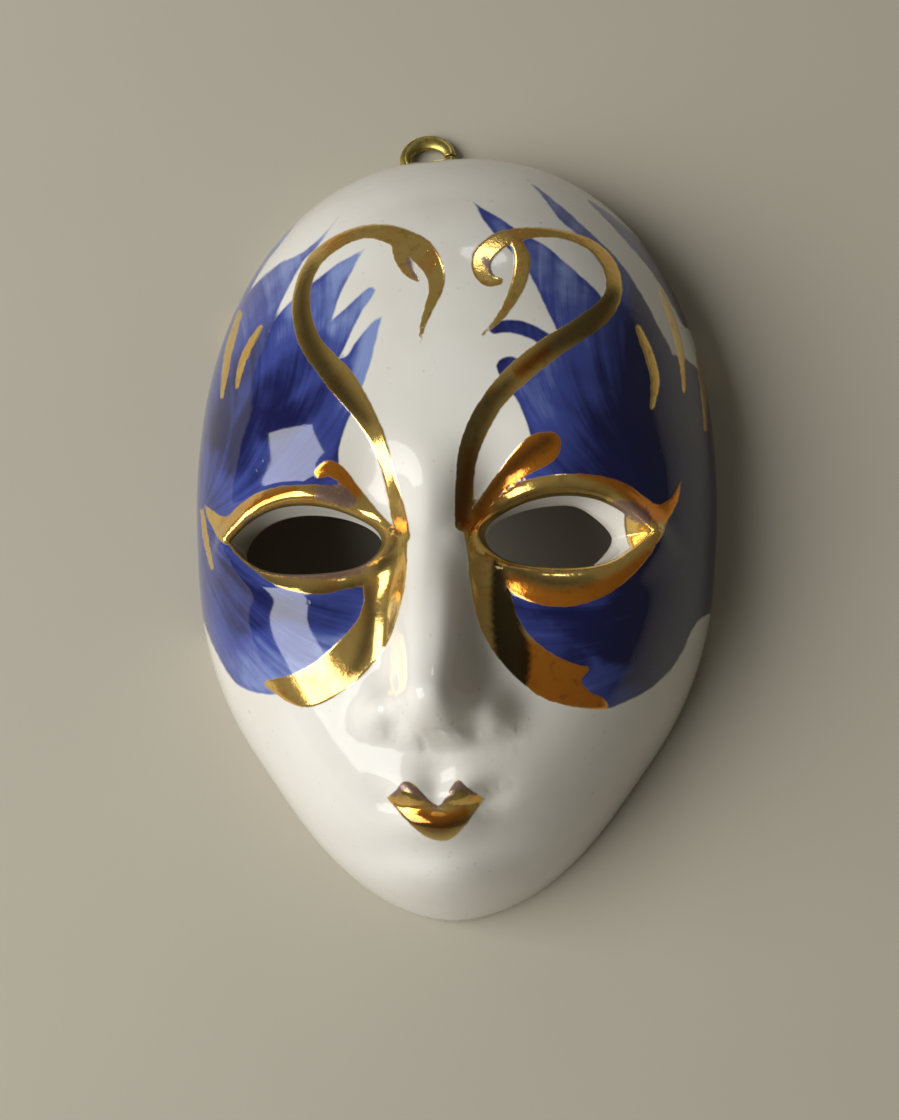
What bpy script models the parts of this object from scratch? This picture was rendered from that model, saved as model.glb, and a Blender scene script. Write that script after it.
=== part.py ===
"""Miniature glazed ceramic Venetian face mask with a brass hanging ring.

The mask lies face up on its flat rim: +Z points out of the face, +Y to the
crown and +X to the viewer's right. Sizes are in millimetres up to the objects,
which are in metres. The origin is the middle of the foot of the whole object.

The face is a height above the rim's plane, worked out from a plain dome and the
features that are modelled on it, so the outer skin, the hollow behind it, the
eye openings and the hanger all follow the same few sizes.
"""

import math

import bmesh
import bpy
import numpy as np
from mathutils import Vector
from mathutils.geometry import delaunay_2d_cdt

MM = 0.001

# Shell
MASK_LENGTH = 61.5          # chin to crown, across the rim
MASK_WIDTH = 41.0           # cheek to cheek, across the rim
DOME_HEIGHT = 15.4          # rim to the plain dome's top, without the features
WALL = 3.0                  # thickness of the fired shell
WIDEST_Y = 2.5              # the widest place, above the middle of the length
CROWN_FULLNESS = 2.25       # superellipse power of the outline above that place
JAW_FULLNESS = 1.82         # and below it
OUTLINE_BLEND = 0.35        # sine of the directions over which one passes into the other
CHEEK_FULLNESS = 0.03       # how far the lower cheek stands out of that curve,
CHEEK_PLACE = (-0.6, 0.28)  # the sine of its direction and its spread
JAW_CUT = 0.014             # how far the jaw's corner keeps inside it
JAW_PLACE = (-0.88, 0.09)
PROFILE_POWER = {"side": 3.1, "crown": 2.7, "chin": 4.6}     # how flat the dome's top is
PROFILE_EDGE = {"side": 0.58, "crown": 0.66, "chin": 0.62}   # how upright its edge is
EDGE_FADE = 18              # power that brings every feature to nothing at the rim

# Face, upwards from the chin's edge and outwards from the face's own middle line
FACE_X = -0.6               # that line lies a little left of the rim's middle
MOUTH_Y = -MASK_LENGTH / 2 + 7.55
MOUTH_HALF_WIDTH = 3.4
MOUTH_BOW = 0.6             # how much higher the corners lie than the middle
MOUTH_LINE = 0.3            # half width of the line between the lips
CHIN_Y = MOUTH_Y - 4.5
NOSE_BASE_Y = MOUTH_Y + 3.2
NOSE_TIP_Y = NOSE_BASE_Y + 3.4                # where the ridge starts to round off
NOSE_ROOT_Y = NOSE_BASE_Y + 22.0
NOSE_RISE = 5.2
NOSE_SWEEP = 1.35           # power of the ridge's rise: over 1 it sweeps up to the tip
NOSE_WIDTH = (1.25, 0.9)    # half width of the bridge, and what it gains by the tip
NOSE_UNDER = (2.2, 0.6)     # superellipse powers of the rounding under the tip
WING_X = 3.5
WING_LIFT = 0.9             # the wings end this much higher than the middle
EYE_INNER_X = 3.65
EYE_TEMPLE = 5.65           # outer corner to the rim's widest place
EYE_Y = NOSE_BASE_Y + 15.55
EYE_ABOVE = 2.4             # upper edge over the line of the corners
EYE_BELOW = 2.75            # lower edge under it
EYE_TILT = 5.0              # degrees, outer corner up
EYE_POINT = (0.5, 0.92)     # powers that round the inner corner and point the outer one
EYE_DRAFT = 0.1             # how much the opening narrows towards the back
EYE_OUTER_CUT = {"left": 0.2, "right": 2.4}   # further narrowing at the outer corner
EYE_TALL = {"left": 1.0, "right": 1.07}       # the right one is cut a little taller
LID_RISE = 0.7
LID_WIDTH = {"upper": 1.5, "lower": 2.6}
LID_CREST = (0.4, 0.45)     # where the lid is highest and how sharply, in lid widths
EYE_LENGTH = MASK_WIDTH / 2 - EYE_TEMPLE - EYE_INNER_X
EYE_X = EYE_INNER_X + EYE_LENGTH / 2

# Swellings and hollows: rise, place across and up, spread across and up
TIP_BALL = (0.6, 0.0, NOSE_TIP_Y - 0.6, 1.7, 1.9)
WING = (2.2, WING_X, NOSE_TIP_Y - 0.9, 1.3, 1.5)
UPPER_LIP = (0.75, 1.4, 0.8, 1.1, 0.55)       # the lips are placed from the mouth's line
LOWER_LIP = (1.05, 0.0, -1.1, 1.9, 0.8)
MOUTH_CORNER = (-0.35, MOUTH_HALF_WIDTH + 0.2, 0.0, 0.9, 0.9)
PHILTRUM = (-0.6, 0.0, MOUTH_Y + 1.9, 0.85, 1.0)
LIP_HOLLOW = (-0.8, 0.0, MOUTH_Y - 2.8, 3.2, 0.9)
CHIN = (1.5, 0.0, CHIN_Y, 3.6, 1.7)
MUZZLE = (1.3, 0.0, MOUTH_Y + 0.4, 5.2, 3.3)
CHEEK = (1.0, 10.2, EYE_Y - 8.15, 4.6, 5.2)
FOREHEAD = (0.9, 0.0, EYE_Y + 13.45, 9.0, 9.0)
SOCKET = (-1.6, EYE_X - 0.6, EYE_Y + 0.4, 4.8, 3.2)
BESIDE_NOSE = (-1.5, 4.3, EYE_Y + 0.4, 1.8, 3.6)
BROW = (0.8, EYE_X - 0.65, EYE_Y + 5.25, 5.2, 1.8)
BROW_SLOPE = 0.12
INNER_SOCKET = (-1.1, EYE_X - 2.0, EYE_Y, 4.5, 3.6)
INNER_NOSE = (0.8, 0.7)     # share of the nose that the hollow follows, and how much wider

# Hanger
RING_OUTER = 4.8
RING_WIRE = 0.9
RING_SPLIT = 0.12           # the cut between the ring's butted ends
HANGER_X = -2.3             # the hanger sits a little left of the middle
AXIS_INSET = 1.3            # ring's pivot, in from the rim's outer edge
STRAP_WIDTH = 1.5
STRAP_GAUGE = 0.25
FIT = 0.3                   # clearance between neighbouring pieces
TABLE_GAP = 0.02            # the ring's foot over the surface the mask lies on
CEMENT_WIDTH = 7.0
CEMENT_LENGTH = 6.0
CEMENT_THICKNESS = 1.9
CEMENT_EDGE = (0.6, 0.25)   # half width at its ends, and thickness at its edge
CEMENT_START = 0.75         # over the hanging notch
CEMENT_BURY = 1.8           # how far the cement passes the tail's end

RING_RADIUS = (RING_OUTER - RING_WIRE) / 2
BARREL_BORE = RING_WIRE / 2 + FIT
BARREL_RADIUS = BARREL_BORE + STRAP_GAUGE
PIVOT_Z = FIT / 2 + BARREL_RADIUS
RING_SLOPE = math.asin((PIVOT_Z - RING_WIRE / 2 - TABLE_GAP) / (2 * RING_RADIUS))
NOTCH_WIDTH = RING_OUTER + 4 * FIT            # arch in the rim that lets the ring out
NOTCH_HEIGHT = PIVOT_Z + BARREL_RADIUS + FIT
NOTCH_SQUARENESS = 8
CEMENT_FOOT = NOTCH_HEIGHT + CEMENT_START
CEMENT_TOP = CEMENT_FOOT + CEMENT_LENGTH
TAIL_TOP = CEMENT_TOP - CEMENT_BURY

# Facets
LATTICE = 1.8               # spacing of the coarsest points on the skins
PLAN_STRETCH = 1.3          # growth of the plan's middle when it is spread like the skin
RIM_STEPS = 112
NOTCH_STEPS = 25
EYE_STEPS = 44
LID_RINGS = (0.35, 0.8, 1.35, 2.0, 2.8)       # rows of points round the eye openings,
NOSE_ROWS = (-0.35, 0.0, 0.15, 0.45, 0.9)     # along the nose's base
MOUTH_ROWS = (-1.9, -1.2, -0.6, -0.25, 0.0, 0.25, 0.6, 1.1)   # and along the lips
NOSE_COLUMNS = (WING_X + 1.6, 23)             # half length of those rows and points in one
MOUTH_COLUMNS = (MOUTH_HALF_WIDTH + 0.9, 19)
RIDGE_COLUMNS = (-0.45, 0.0, 0.45)            # columns of points down the nose's ridge
RIDGE_POINTS = 20                             # points in one
RIM_ROOM = 0.6              # least distance of the skins' points from the rim, in spacings,
RIM_LEAST = 0.04            # on the flat and where the skin is upright
LOOP_ROOM = 0.5             # and from an eye opening's rows
RING_FACETS = (56, 14)
FOLD_STEPS = 28
TAIL_STEPS = 6
CEMENT_FACETS = 15
SMOOTH_ANGLE = 40           # degrees; sharper edges stay sharp
PROBE = 0.01                # step over which a wall's lean is measured
SIDES = ("left", "right")


def smooth(value, low=0.0, high=1.0):
    """Smooth step from 0 at low to 1 at high."""
    step = np.clip((value - low) / (high - low), 0.0, 1.0)
    return step * step * (3 - 2 * step)


def swell(x, y, form, wider=0.0):
    """Height of a rounded swelling, or of a hollow where its rise is negative."""
    rise, across, up, wide, high = form
    return rise * np.exp(-0.5 * (((x - across) / (wide + wider)) ** 2 + ((y - up) / high) ** 2))


def by_direction(values, rise):
    """Blend a side, crown and chin value by the sine of the direction."""
    crown = smooth(rise)
    chin = smooth(-rise)
    return values["side"] * (1 - crown - chin) + values["crown"] * crown + values["chin"] * chin


def near_sine(angle, place):
    """1 where a direction's sine is a place's, falling to 0 over its spread."""
    middle, spread = place
    return np.exp(-((np.sin(angle) - middle) / spread) ** 2)


def outline_radius(angle, inset=0.0):
    """Distance from the outline's pole to the rim, in a direction."""
    upper = smooth(np.sin(angle), -OUTLINE_BLEND, OUTLINE_BLEND)
    reach = MASK_LENGTH / 2 + WIDEST_Y * (1 - 2 * upper) - inset
    power = JAW_FULLNESS + (CROWN_FULLNESS - JAW_FULLNESS) * upper
    across = (np.abs(np.cos(angle)) / (MASK_WIDTH / 2 - inset)) ** power
    along = (np.abs(np.sin(angle)) / reach) ** power
    fullness = 1 + CHEEK_FULLNESS * near_sine(angle, CHEEK_PLACE) - JAW_CUT * near_sine(angle, JAW_PLACE)
    return (across + along) ** (-1 / power) * fullness


HANGER_ANGLE = math.pi / 2 - HANGER_X / (MASK_LENGTH / 2)
PIVOT_LINE_Y = WIDEST_Y + float(outline_radius(np.array(HANGER_ANGLE))) - AXIS_INSET


def polar(x, y):
    """Direction and distance of a point from the outline's pole."""
    return np.arctan2(y - WIDEST_Y, x), np.hypot(x, y - WIDEST_Y)


def dome(x, y, height, inset=0.0):
    """Plain dome over the outline, and how far out on it each point lies."""
    angle, distance = polar(x, y)
    out = np.clip(distance / outline_radius(angle, inset), 0.0, 1.0)
    rise = np.sin(angle)
    power = by_direction(PROFILE_POWER, rise)
    edge = by_direction(PROFILE_EDGE, rise)
    return height * (1 - out ** power) ** edge, out


def eye_loop(side, steps, back=False, grow=0.0):
    """Points round an eye opening, from the inner corner over the upper lid."""
    turn = np.linspace(0, 2 * math.pi, steps, endpoint=False)
    along = -np.cos(turn)
    above = np.sin(turn) >= 0
    pointed = EYE_POINT[0] + (EYE_POINT[1] - EYE_POINT[0]) * smooth(along, -0.2, 1.0)
    lift = np.where(above, EYE_ABOVE * EYE_TALL[side] + grow, -EYE_BELOW * EYE_TALL[side] - grow)
    lift = lift * (1 - along ** 2) ** pointed
    reach = along * (EYE_LENGTH / 2 + grow)
    if back:
        reach = reach * (1 - 2 * EYE_DRAFT / EYE_LENGTH)
        reach -= EYE_OUTER_CUT[side] * smooth(along, -0.2, 1.0)
        lift = lift * (1 - EYE_DRAFT / EYE_ABOVE)
    tilt = math.radians(EYE_TILT)
    x = EYE_X + reach * math.cos(tilt) - lift * math.sin(tilt)
    y = EYE_Y + reach * math.sin(tilt) + lift * math.cos(tilt)
    return np.stack([FACE_X + (-x if side == "left" else x), y], axis=1)


def loop_distance(x, y, loop):
    """Distance of points from a closed loop, negative inside it."""
    start = loop[None, :, :]
    step = np.roll(loop, -1, axis=0)[None, :, :] - start
    to_point = np.stack([x, y], axis=1)[:, None, :] - start
    share = np.clip((to_point * step).sum(2) / (step ** 2).sum(2), 0.0, 1.0)
    away = np.linalg.norm(to_point - share[..., None] * step, axis=2).min(1)
    crossing = (loop[None, :, 1] > y[:, None]) != (np.roll(loop, -1, axis=0)[None, :, 1] > y[:, None])
    climb = np.where(step[..., 1] == 0, 1e-12, step[..., 1])
    slope = step[..., 0] * (y[:, None] - loop[None, :, 1]) / climb
    inside = (crossing & (x[:, None] < loop[None, :, 0] + slope)).sum(1) % 2 == 1
    return np.where(inside, -away, away)


def nose_base(x):
    """Line where the nose's underside meets the lip, which rises under the wings."""
    return NOSE_BASE_Y + WING_LIFT * np.clip(np.abs(x) / WING_X, 0.0, 1.5) ** 2


def mouth_line(x):
    """Line between the lips, which rises to the corners."""
    return MOUTH_Y + MOUTH_BOW * (x / MOUTH_HALF_WIDTH) ** 2


def nose(x, y, wider=0.0):
    """Ridge, tip and wings of the nose, rounded off under the tip."""
    side_x = np.abs(x)
    along = np.clip((NOSE_ROOT_Y - y) / (NOSE_ROOT_Y - NOSE_TIP_Y), 0.0, 1.0)
    width = NOSE_WIDTH[0] + NOSE_WIDTH[1] * along + wider
    ridge = NOSE_RISE * along ** NOSE_SWEEP * np.exp(-0.5 * (x / width) ** 2)
    form = ridge + swell(x, y, TIP_BALL, wider) + swell(side_x, y, WING, wider)
    down = np.clip((NOSE_TIP_Y - y) / (NOSE_TIP_Y - nose_base(x)), 0.0, 1.0)
    return form * (1 - down ** NOSE_UNDER[0]) ** NOSE_UNDER[1]


def mouth(x, y):
    """Small bowed lips, with the groove over them and the hollow under them."""
    side_x = np.abs(x)
    above = y - mouth_line(x)
    parting = 0.5 * np.exp(-0.5 * (above / MOUTH_LINE) ** 2 - (x / MOUTH_HALF_WIDTH) ** 6)
    lips = swell(side_x, above, UPPER_LIP) + swell(x, above, LOWER_LIP) - parting
    return lips + swell(side_x, above, MOUTH_CORNER) + swell(x, y, PHILTRUM) + swell(x, y, LIP_HOLLOW)


def eyes(x, y):
    """Sockets, brow ridges and raised lids."""
    side_x = np.abs(x)
    away = [loop_distance(FACE_X + x, y, eye_loop(side, EYE_STEPS)) for side in SIDES]
    away = np.maximum(np.minimum(*away), 0.0)
    below = smooth(EYE_Y - y, -0.5, 1.5)
    width = LID_WIDTH["upper"] + (LID_WIDTH["lower"] - LID_WIDTH["upper"]) * below
    lid = LID_RISE * np.exp(-((away / width - LID_CREST[0]) / LID_CREST[1]) ** 2)
    brow = swell(side_x, y - BROW_SLOPE * side_x, BROW)
    return lid + brow + swell(side_x, y, SOCKET) + swell(side_x, y, BESIDE_NOSE)


def broad_features(x, y):
    """Cheeks, forehead and the fullness round the mouth, which the hollow follows too."""
    return swell(np.abs(x), y, CHEEK) + swell(x, y, MUZZLE) + swell(x, y, FOREHEAD)


def face_features(x, y):
    """Everything that is modelled on the plain dome."""
    return nose(x, y) + mouth(x, y) + eyes(x, y) + broad_features(x, y) + swell(x, y, CHIN)


def outer_height(x, y):
    """Height of the glazed face."""
    plain, out = dome(x, y, DOME_HEIGHT)
    return plain + face_features(x - FACE_X, y) * (1 - out ** EDGE_FADE)


def inner_height(x, y):
    """Height of the hollow's ceiling, which follows the face loosely."""
    plain, out = dome(x, y, DOME_HEIGHT - WALL, WALL)
    across = x - FACE_X
    soft = INNER_NOSE[0] * nose(across, y, INNER_NOSE[1])
    soft += broad_features(across, y) + swell(np.abs(across), y, INNER_SOCKET)
    return plain + soft * (1 - out ** EDGE_FADE)


def notch_height(x):
    """Height of the hanging notch's arch at a place across the rim."""
    across = np.clip(np.abs(x - HANGER_X) / (NOTCH_WIDTH / 2), 0.0, 1.0)
    return NOTCH_HEIGHT * np.sqrt(1 - across ** NOTCH_SQUARENESS)


def rim_loop(steps, height, inset):
    """Plan points and heights of the rim's edge, lifted by the hanging notch."""
    angle = np.linspace(0, 2 * math.pi, steps, endpoint=False)
    half = 1.25 * NOTCH_WIDTH / MASK_LENGTH
    close = HANGER_ANGLE + half * np.linspace(-1, 1, NOTCH_STEPS)
    clear = np.abs(angle - HANGER_ANGLE) > half + math.pi / (2 * steps)
    angle = np.sort(np.concatenate([angle[clear], close]))
    radius = outline_radius(angle, inset)
    x = radius * np.cos(angle)
    lifted = np.where(np.sin(angle) > 0, notch_height(x), 0.0)
    power = by_direction(PROFILE_POWER, np.sin(angle))
    edge = by_direction(PROFILE_EDGE, np.sin(angle))
    out = (1 - (lifted / height) ** (1 / edge)) ** (1 / power)
    plan = np.stack([out * x, WIDEST_Y + out * radius * np.sin(angle)], axis=1)
    return plan, lifted


def spread_out(x, y, inset):
    """Stretch the plan so that equal steps on it are about equal on the skin."""
    angle, distance = polar(x, y)
    out = np.clip(distance / outline_radius(angle, inset), 1e-9, 1.0)
    grown = np.arcsin(out) * 2 / math.pi * PLAN_STRETCH / out
    return x * grown, (y - WIDEST_Y) * grown


def gather_in(x, y, inset):
    """Undo spread_out."""
    angle, distance = np.arctan2(y, x), np.hypot(x, y)
    turn = np.clip(distance / PLAN_STRETCH / outline_radius(angle, inset), 1e-9, 1.0)
    shrunk = np.sin(turn * math.pi / 2) / turn / PLAN_STRETCH
    return x * shrunk, y * shrunk + WIDEST_Y


def lattice(spacing, inset):
    """Rows of points set as in a honeycomb over the stretched plan."""
    row_height = spacing * math.sqrt(0.75)
    rows = int(PLAN_STRETCH * MASK_LENGTH / 2 / row_height) + 2
    across = int(PLAN_STRETCH * MASK_WIDTH / 2 / spacing) + 2
    points = []
    for row in range(-rows, rows + 1):
        shift = 0.5 * (row % 2)
        for step in range(-across, across + 1):
            points.append(((step + shift) * spacing, row * row_height))
    flat = np.array(points)
    angle, distance = np.arctan2(flat[:, 1], flat[:, 0]), np.hypot(flat[:, 0], flat[:, 1])
    inside = distance < PLAN_STRETCH * outline_radius(angle, inset)
    return np.stack(gather_in(flat[inside, 0], flat[inside, 1], inset), axis=1)


def skin_points(inset, levels, rim, eyes_cut):
    """Points inside the rim and outside the eyes, finer where the face has more shape."""
    kept = []
    for number, (spacing, wanted) in enumerate(levels):
        points = lattice(spacing, inset)
        x, y = points[:, 0], points[:, 1]
        angle, distance = polar(x, y)
        steep = np.sqrt(1 - np.clip(distance / outline_radius(angle, inset), 0, 1) ** 2)
        room = spacing * np.maximum(RIM_ROOM * steep, RIM_LEAST)
        good = wanted(x, y) & (loop_distance(x, y, rim) < -room)
        for _, finer in levels[number + 1:]:
            good &= ~finer(x, y)
        for loop in eyes_cut:
            good &= loop_distance(x, y, loop) > LOOP_ROOM * spacing
        kept.append(points[good])
    return np.concatenate(kept)


def nose_zone(x, y):
    """Where the nose needs finer facets."""
    side_x = np.abs(x - FACE_X)
    bridge = (side_x < EYE_INNER_X + 1.0) & (y < NOSE_ROOT_Y)
    wings = (side_x < WING_X + 2.8) & (y < NOSE_TIP_Y + 6.0)
    return (bridge | wings) & (y > CHIN_Y)


def lips_zone(x, y):
    """Where the lips and the nose's base need the finest facets."""
    return (np.abs(x - FACE_X) < WING_X + 1.5) & (y < NOSE_TIP_Y + 0.5) & (y > MOUTH_Y - 3.0)


def feature_rows(line, offsets, columns):
    """Rows of points along a line across the face, and the loop round them all."""
    half, count = columns
    x = np.linspace(-half, half, count)
    rows = [np.stack([FACE_X + x, line(x) + offset], axis=1) for offset in offsets]
    return rows, np.concatenate([rows[0], rows[-1][::-1]])


def ridge_columns():
    """Columns of points down the nose's ridge, and the loop round them all."""
    y = np.linspace(NOSE_TIP_Y + LATTICE / 2, NOSE_ROOT_Y, RIDGE_POINTS)
    columns = [np.stack([FACE_X + np.full(RIDGE_POINTS, x), y], axis=1) for x in RIDGE_COLUMNS]
    return columns, np.concatenate([columns[0], columns[-1][::-1]])


def feature_lines(back):
    """Points that follow a skin's sharper forms, and the loops round them."""
    if back:
        return [feature_rows(nose_base, NOSE_ROWS, NOSE_COLUMNS)]
    lips = feature_rows(mouth_line, MOUTH_ROWS, MOUTH_COLUMNS)
    return [feature_rows(nose_base, NOSE_ROWS, NOSE_COLUMNS), lips, ridge_columns()]


def triangulate(rim, eyes_cut, points, inset):
    """Triangles over the plan, with the rim and the eye openings as edges."""
    plan = np.concatenate([rim, *eyes_cut, points])
    edges = []
    first = 0
    for loop in [rim, *eyes_cut]:
        count = len(loop)
        edges += [(first + step, first + (step + 1) % count) for step in range(count)]
        first += count
    flat = np.stack(spread_out(plan[:, 0], plan[:, 1], inset), axis=1)
    result = delaunay_2d_cdt([Vector(p) for p in flat.tolist()], edges, [], 0, 1e-7)
    if len(result[0]) != len(plan):
        raise ValueError("the skin's points fall on each other")
    order = [origin[0] for origin in result[3]]
    faces = np.array([[order[corner] for corner in face] for face in result[2]])
    middle = plan[faces].mean(axis=1)
    wanted = loop_distance(middle[:, 0], middle[:, 1], rim) < 0
    for loop in eyes_cut:
        wanted &= loop_distance(middle[:, 0], middle[:, 1], loop) > 0
    return plan, faces[wanted]


def make_object(name, vertices, faces, material, origin=(0.0, 0.0, 0.0), flat=False):
    """New object from points in millimetres, its origin at a point in millimetres."""
    mesh = bpy.data.meshes.new(name)
    local = (np.asarray(vertices, dtype=float) - np.asarray(origin)) * MM
    mesh.from_pydata(local.tolist(), [], [list(map(int, face)) for face in faces])
    work = bmesh.new()
    work.from_mesh(mesh)
    bmesh.ops.recalc_face_normals(work, faces=work.faces)
    work.to_mesh(mesh)
    work.free()
    if not flat:
        mesh.shade_smooth()
        mesh.set_sharp_from_angle(angle=math.radians(SMOOTH_ANGLE))
    piece = bpy.data.objects.new(name, mesh)
    piece.location = Vector(origin) * MM
    piece.data.materials.append(material)
    bpy.context.scene.collection.objects.link(piece)
    return piece


def make_material(name, colour, roughness, metallic):
    """Plain Principled material."""
    material = bpy.data.materials.new(name)
    material.use_nodes = True
    shader = material.node_tree.nodes["Principled BSDF"]
    shader.inputs["Base Color"].default_value = (*colour, 1.0)
    shader.inputs["Roughness"].default_value = roughness
    shader.inputs["Metallic"].default_value = metallic
    return material


def make_shell(material, shift):
    """Cast shell: the face, the hollow behind it, its flat rim and the eye openings."""
    vertices, faces, loops = [], [], []
    first = 0
    everywhere = (LATTICE, lambda x, y: np.full(x.shape, True))
    middle = (LATTICE / 2, nose_zone)
    fine = (LATTICE / 4, lips_zone)
    skins = (
        (outer_height, DOME_HEIGHT, 0.0, False, (everywhere, middle, fine)),
        (inner_height, DOME_HEIGHT - WALL, WALL, True, (everywhere, middle)),
    )
    for height_at, height, inset, back, levels in skins:
        rim, lifted = rim_loop(RIM_STEPS, height, inset)
        openings = [eye_loop(side, EYE_STEPS, back) for side in SIDES]
        rows = () if back else LID_RINGS
        rings = [eye_loop(side, EYE_STEPS, grow=grow) for side in SIDES for grow in rows]
        around = [eye_loop(side, EYE_STEPS, back, rows[-1] if rows else 0.0) for side in SIDES]
        for lines, outline in feature_lines(back):
            rings += lines
            around.append(outline)
        points = np.concatenate([*rings, skin_points(inset, levels, rim, around)])
        plan, triangles = triangulate(rim, openings, points, inset)
        z = height_at(plan[:, 0], plan[:, 1])
        z[:len(rim)] = lifted
        vertices.append(np.column_stack([plan, z]))
        faces += (triangles + first)[:, ::-1 if back else 1].tolist()
        loops.append(first)
        first += len(plan)
    offset = 0
    for count in (len(rim), EYE_STEPS, EYE_STEPS):
        for step in range(count):
            after = (step + 1) % count
            outer, inner = loops[0] + offset, loops[1] + offset
            faces.append((outer + step, inner + step, inner + after, outer + after))
        offset += count
    return make_object("mask_shell", np.concatenate(vertices) + shift, faces, material)


def ring_points(radius, wire, split, steps, sides):
    """Rings of points round a wire bent to a circle in the XY plane, open by the split."""
    gap = split / radius
    bends = np.linspace(gap / 2, 2 * math.pi - gap / 2, steps)
    turns = np.linspace(0, 2 * math.pi, sides, endpoint=False)
    points = []
    for bend in bends:
        for turn in turns:
            out = radius + wire / 2 * math.cos(turn)
            points.append((out * math.cos(bend), out * math.sin(bend), wire / 2 * math.sin(turn)))
    return np.array(points)


def tube_faces(steps, sides):
    """Faces of a tube of rings of points, with flat ends."""
    faces = [tuple(reversed(range(sides))), tuple(range((steps - 1) * sides, steps * sides))]
    for step in range(steps - 1):
        for side in range(sides):
            after = (side + 1) % sides
            low, high = step * sides, (step + 1) * sides
            faces.append((low + side, low + after, high + after, high + side))
    return faces


def make_ring(material, pivot):
    """Jump ring, split on its right, sloping from the pivot down to the table."""
    points = ring_points(RING_RADIUS, RING_WIRE, RING_SPLIT, *RING_FACETS)
    points[:, 1] += RING_RADIUS
    slope = -RING_SLOPE
    y = points[:, 1] * math.cos(slope) - points[:, 2] * math.sin(slope)
    z = points[:, 1] * math.sin(slope) + points[:, 2] * math.cos(slope)
    placed = np.column_stack([points[:, 0], y, z]) + pivot
    return make_object("hanger_ring", placed, tube_faces(*RING_FACETS), material, pivot)


def wall_normal(x, y):
    """Place on the inner wall and the direction that points out of the hollow there."""
    height = inner_height(np.array([x, x - PROBE, x + PROBE, x, x]),
                          np.array([y, y, y, y - PROBE, y + PROBE]))
    normal = np.array([height[1] - height[2], height[3] - height[4], 2 * PROBE])
    return np.array([x, y, height[0]]), normal / np.linalg.norm(normal)


def inner_wall(across, low, high, steps, clearance):
    """Points up the inner wall over the hanger, stood off it by a clearance."""
    points = []
    for height in np.linspace(low, high, steps):
        near, far = WIDEST_Y, WIDEST_Y + float(outline_radius(np.array(math.pi / 2), WALL))
        while far - near > PROBE ** 3:
            middle = (near + far) / 2
            if float(inner_height(np.array([across]), np.array([middle]))[0]) > height:
                near = middle
            else:
                far = middle
        place, normal = wall_normal(across, near)
        points.append((place - normal * clearance)[1:])
    return np.array(points)


def tail_wall_line():
    """Middle line of the part of the strap's tail that lies along the inner wall."""
    return inner_wall(HANGER_X, NOTCH_HEIGHT, TAIL_TOP, TAIL_STEPS, FIT + STRAP_GAUGE)


def strap_line():
    """Middle line of the strap's doubled tail, round the arch's edge and up the wall."""
    wall = tail_wall_line()
    arch_edge = inner_wall(HANGER_X, NOTCH_HEIGHT, TAIL_TOP, 2, 0.0)[0]
    inwards = wall[0] - arch_edge
    first, last = 1.5 * math.pi, math.atan2(inwards[1], inwards[0]) % (2 * math.pi)
    bend = [arch_edge + (FIT + STRAP_GAUGE) * np.array([math.cos(turn), math.sin(turn)])
            for turn in np.linspace(first, last, TAIL_STEPS)]
    start = np.array([[PIVOT_LINE_Y, PIVOT_Z + BARREL_BORE]])
    return np.concatenate([start, bend, wall[1:]])


def ribbon(line, thickness):
    """Outline of a strip of even thickness along a line in the YZ plane."""
    ahead = np.gradient(line, axis=0)
    ahead /= np.linalg.norm(ahead, axis=1)[:, None]
    side = np.column_stack([-ahead[:, 1], ahead[:, 0]]) * thickness / 2
    return np.concatenate([line + side, (line - side)[::-1]])


def prism(outline, across, width):
    """Points and faces of an outline in the YZ plane drawn out along X."""
    count = len(outline)
    left = np.column_stack([np.full(count, across - width / 2), outline])
    right = np.column_stack([np.full(count, across + width / 2), outline])
    faces = [tuple(range(count)), tuple(reversed(range(count, 2 * count)))]
    for step in range(count):
        after = (step + 1) % count
        faces.append((step, count + step, count + after, after))
    return np.concatenate([left, right]), faces


def circle(centre, radius, steps):
    """Points round a circle in the YZ plane."""
    turn = np.linspace(0, 2 * math.pi, steps, endpoint=False)
    return np.column_stack([centre[0] + radius * np.cos(turn), centre[1] + radius * np.sin(turn)])


def cut(piece, tool, operation):
    """Boolean of one object with a hidden tool object."""
    tool.hide_render = True
    tool.display_type = "WIRE"
    tool.hide_set(True)
    modifier = piece.modifiers.new(operation.lower(), "BOOLEAN")
    modifier.operation = operation
    modifier.solver = "EXACT"
    modifier.object = tool


def make_strap(material, pivot, shift):
    """Brass strip folded round the ring, its two leaves lying together as a tail."""
    fold = (pivot[1], pivot[2])
    line = strap_line() + shift[1:] * (1, 0)
    tail = prism(ribbon(line, 2 * STRAP_GAUGE), HANGER_X, STRAP_WIDTH)
    outside = prism(circle(fold, BARREL_RADIUS, FOLD_STEPS), HANGER_X, STRAP_WIDTH)
    inside = prism(circle(fold, BARREL_BORE, FOLD_STEPS), HANGER_X, 2 * STRAP_WIDTH)
    strap = make_object("hanger_strap", *tail, material, flat=True)
    cut(strap, make_object("strap_barrel", *outside, material, flat=True), "UNION")
    cut(strap, make_object("strap_bore", *inside, material, flat=True), "DIFFERENCE")
    return strap


def sheet_edge(rows, columns):
    """Numbers of the points round the edge of a sheet of points, in order."""
    edge = list(range(columns))
    edge += [row * columns + columns - 1 for row in range(1, rows)]
    edge += [(rows - 1) * columns + column for column in range(columns - 2, -1, -1)]
    edge += [row * columns for row in range(rows - 2, 0, -1)]
    return edge


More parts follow.
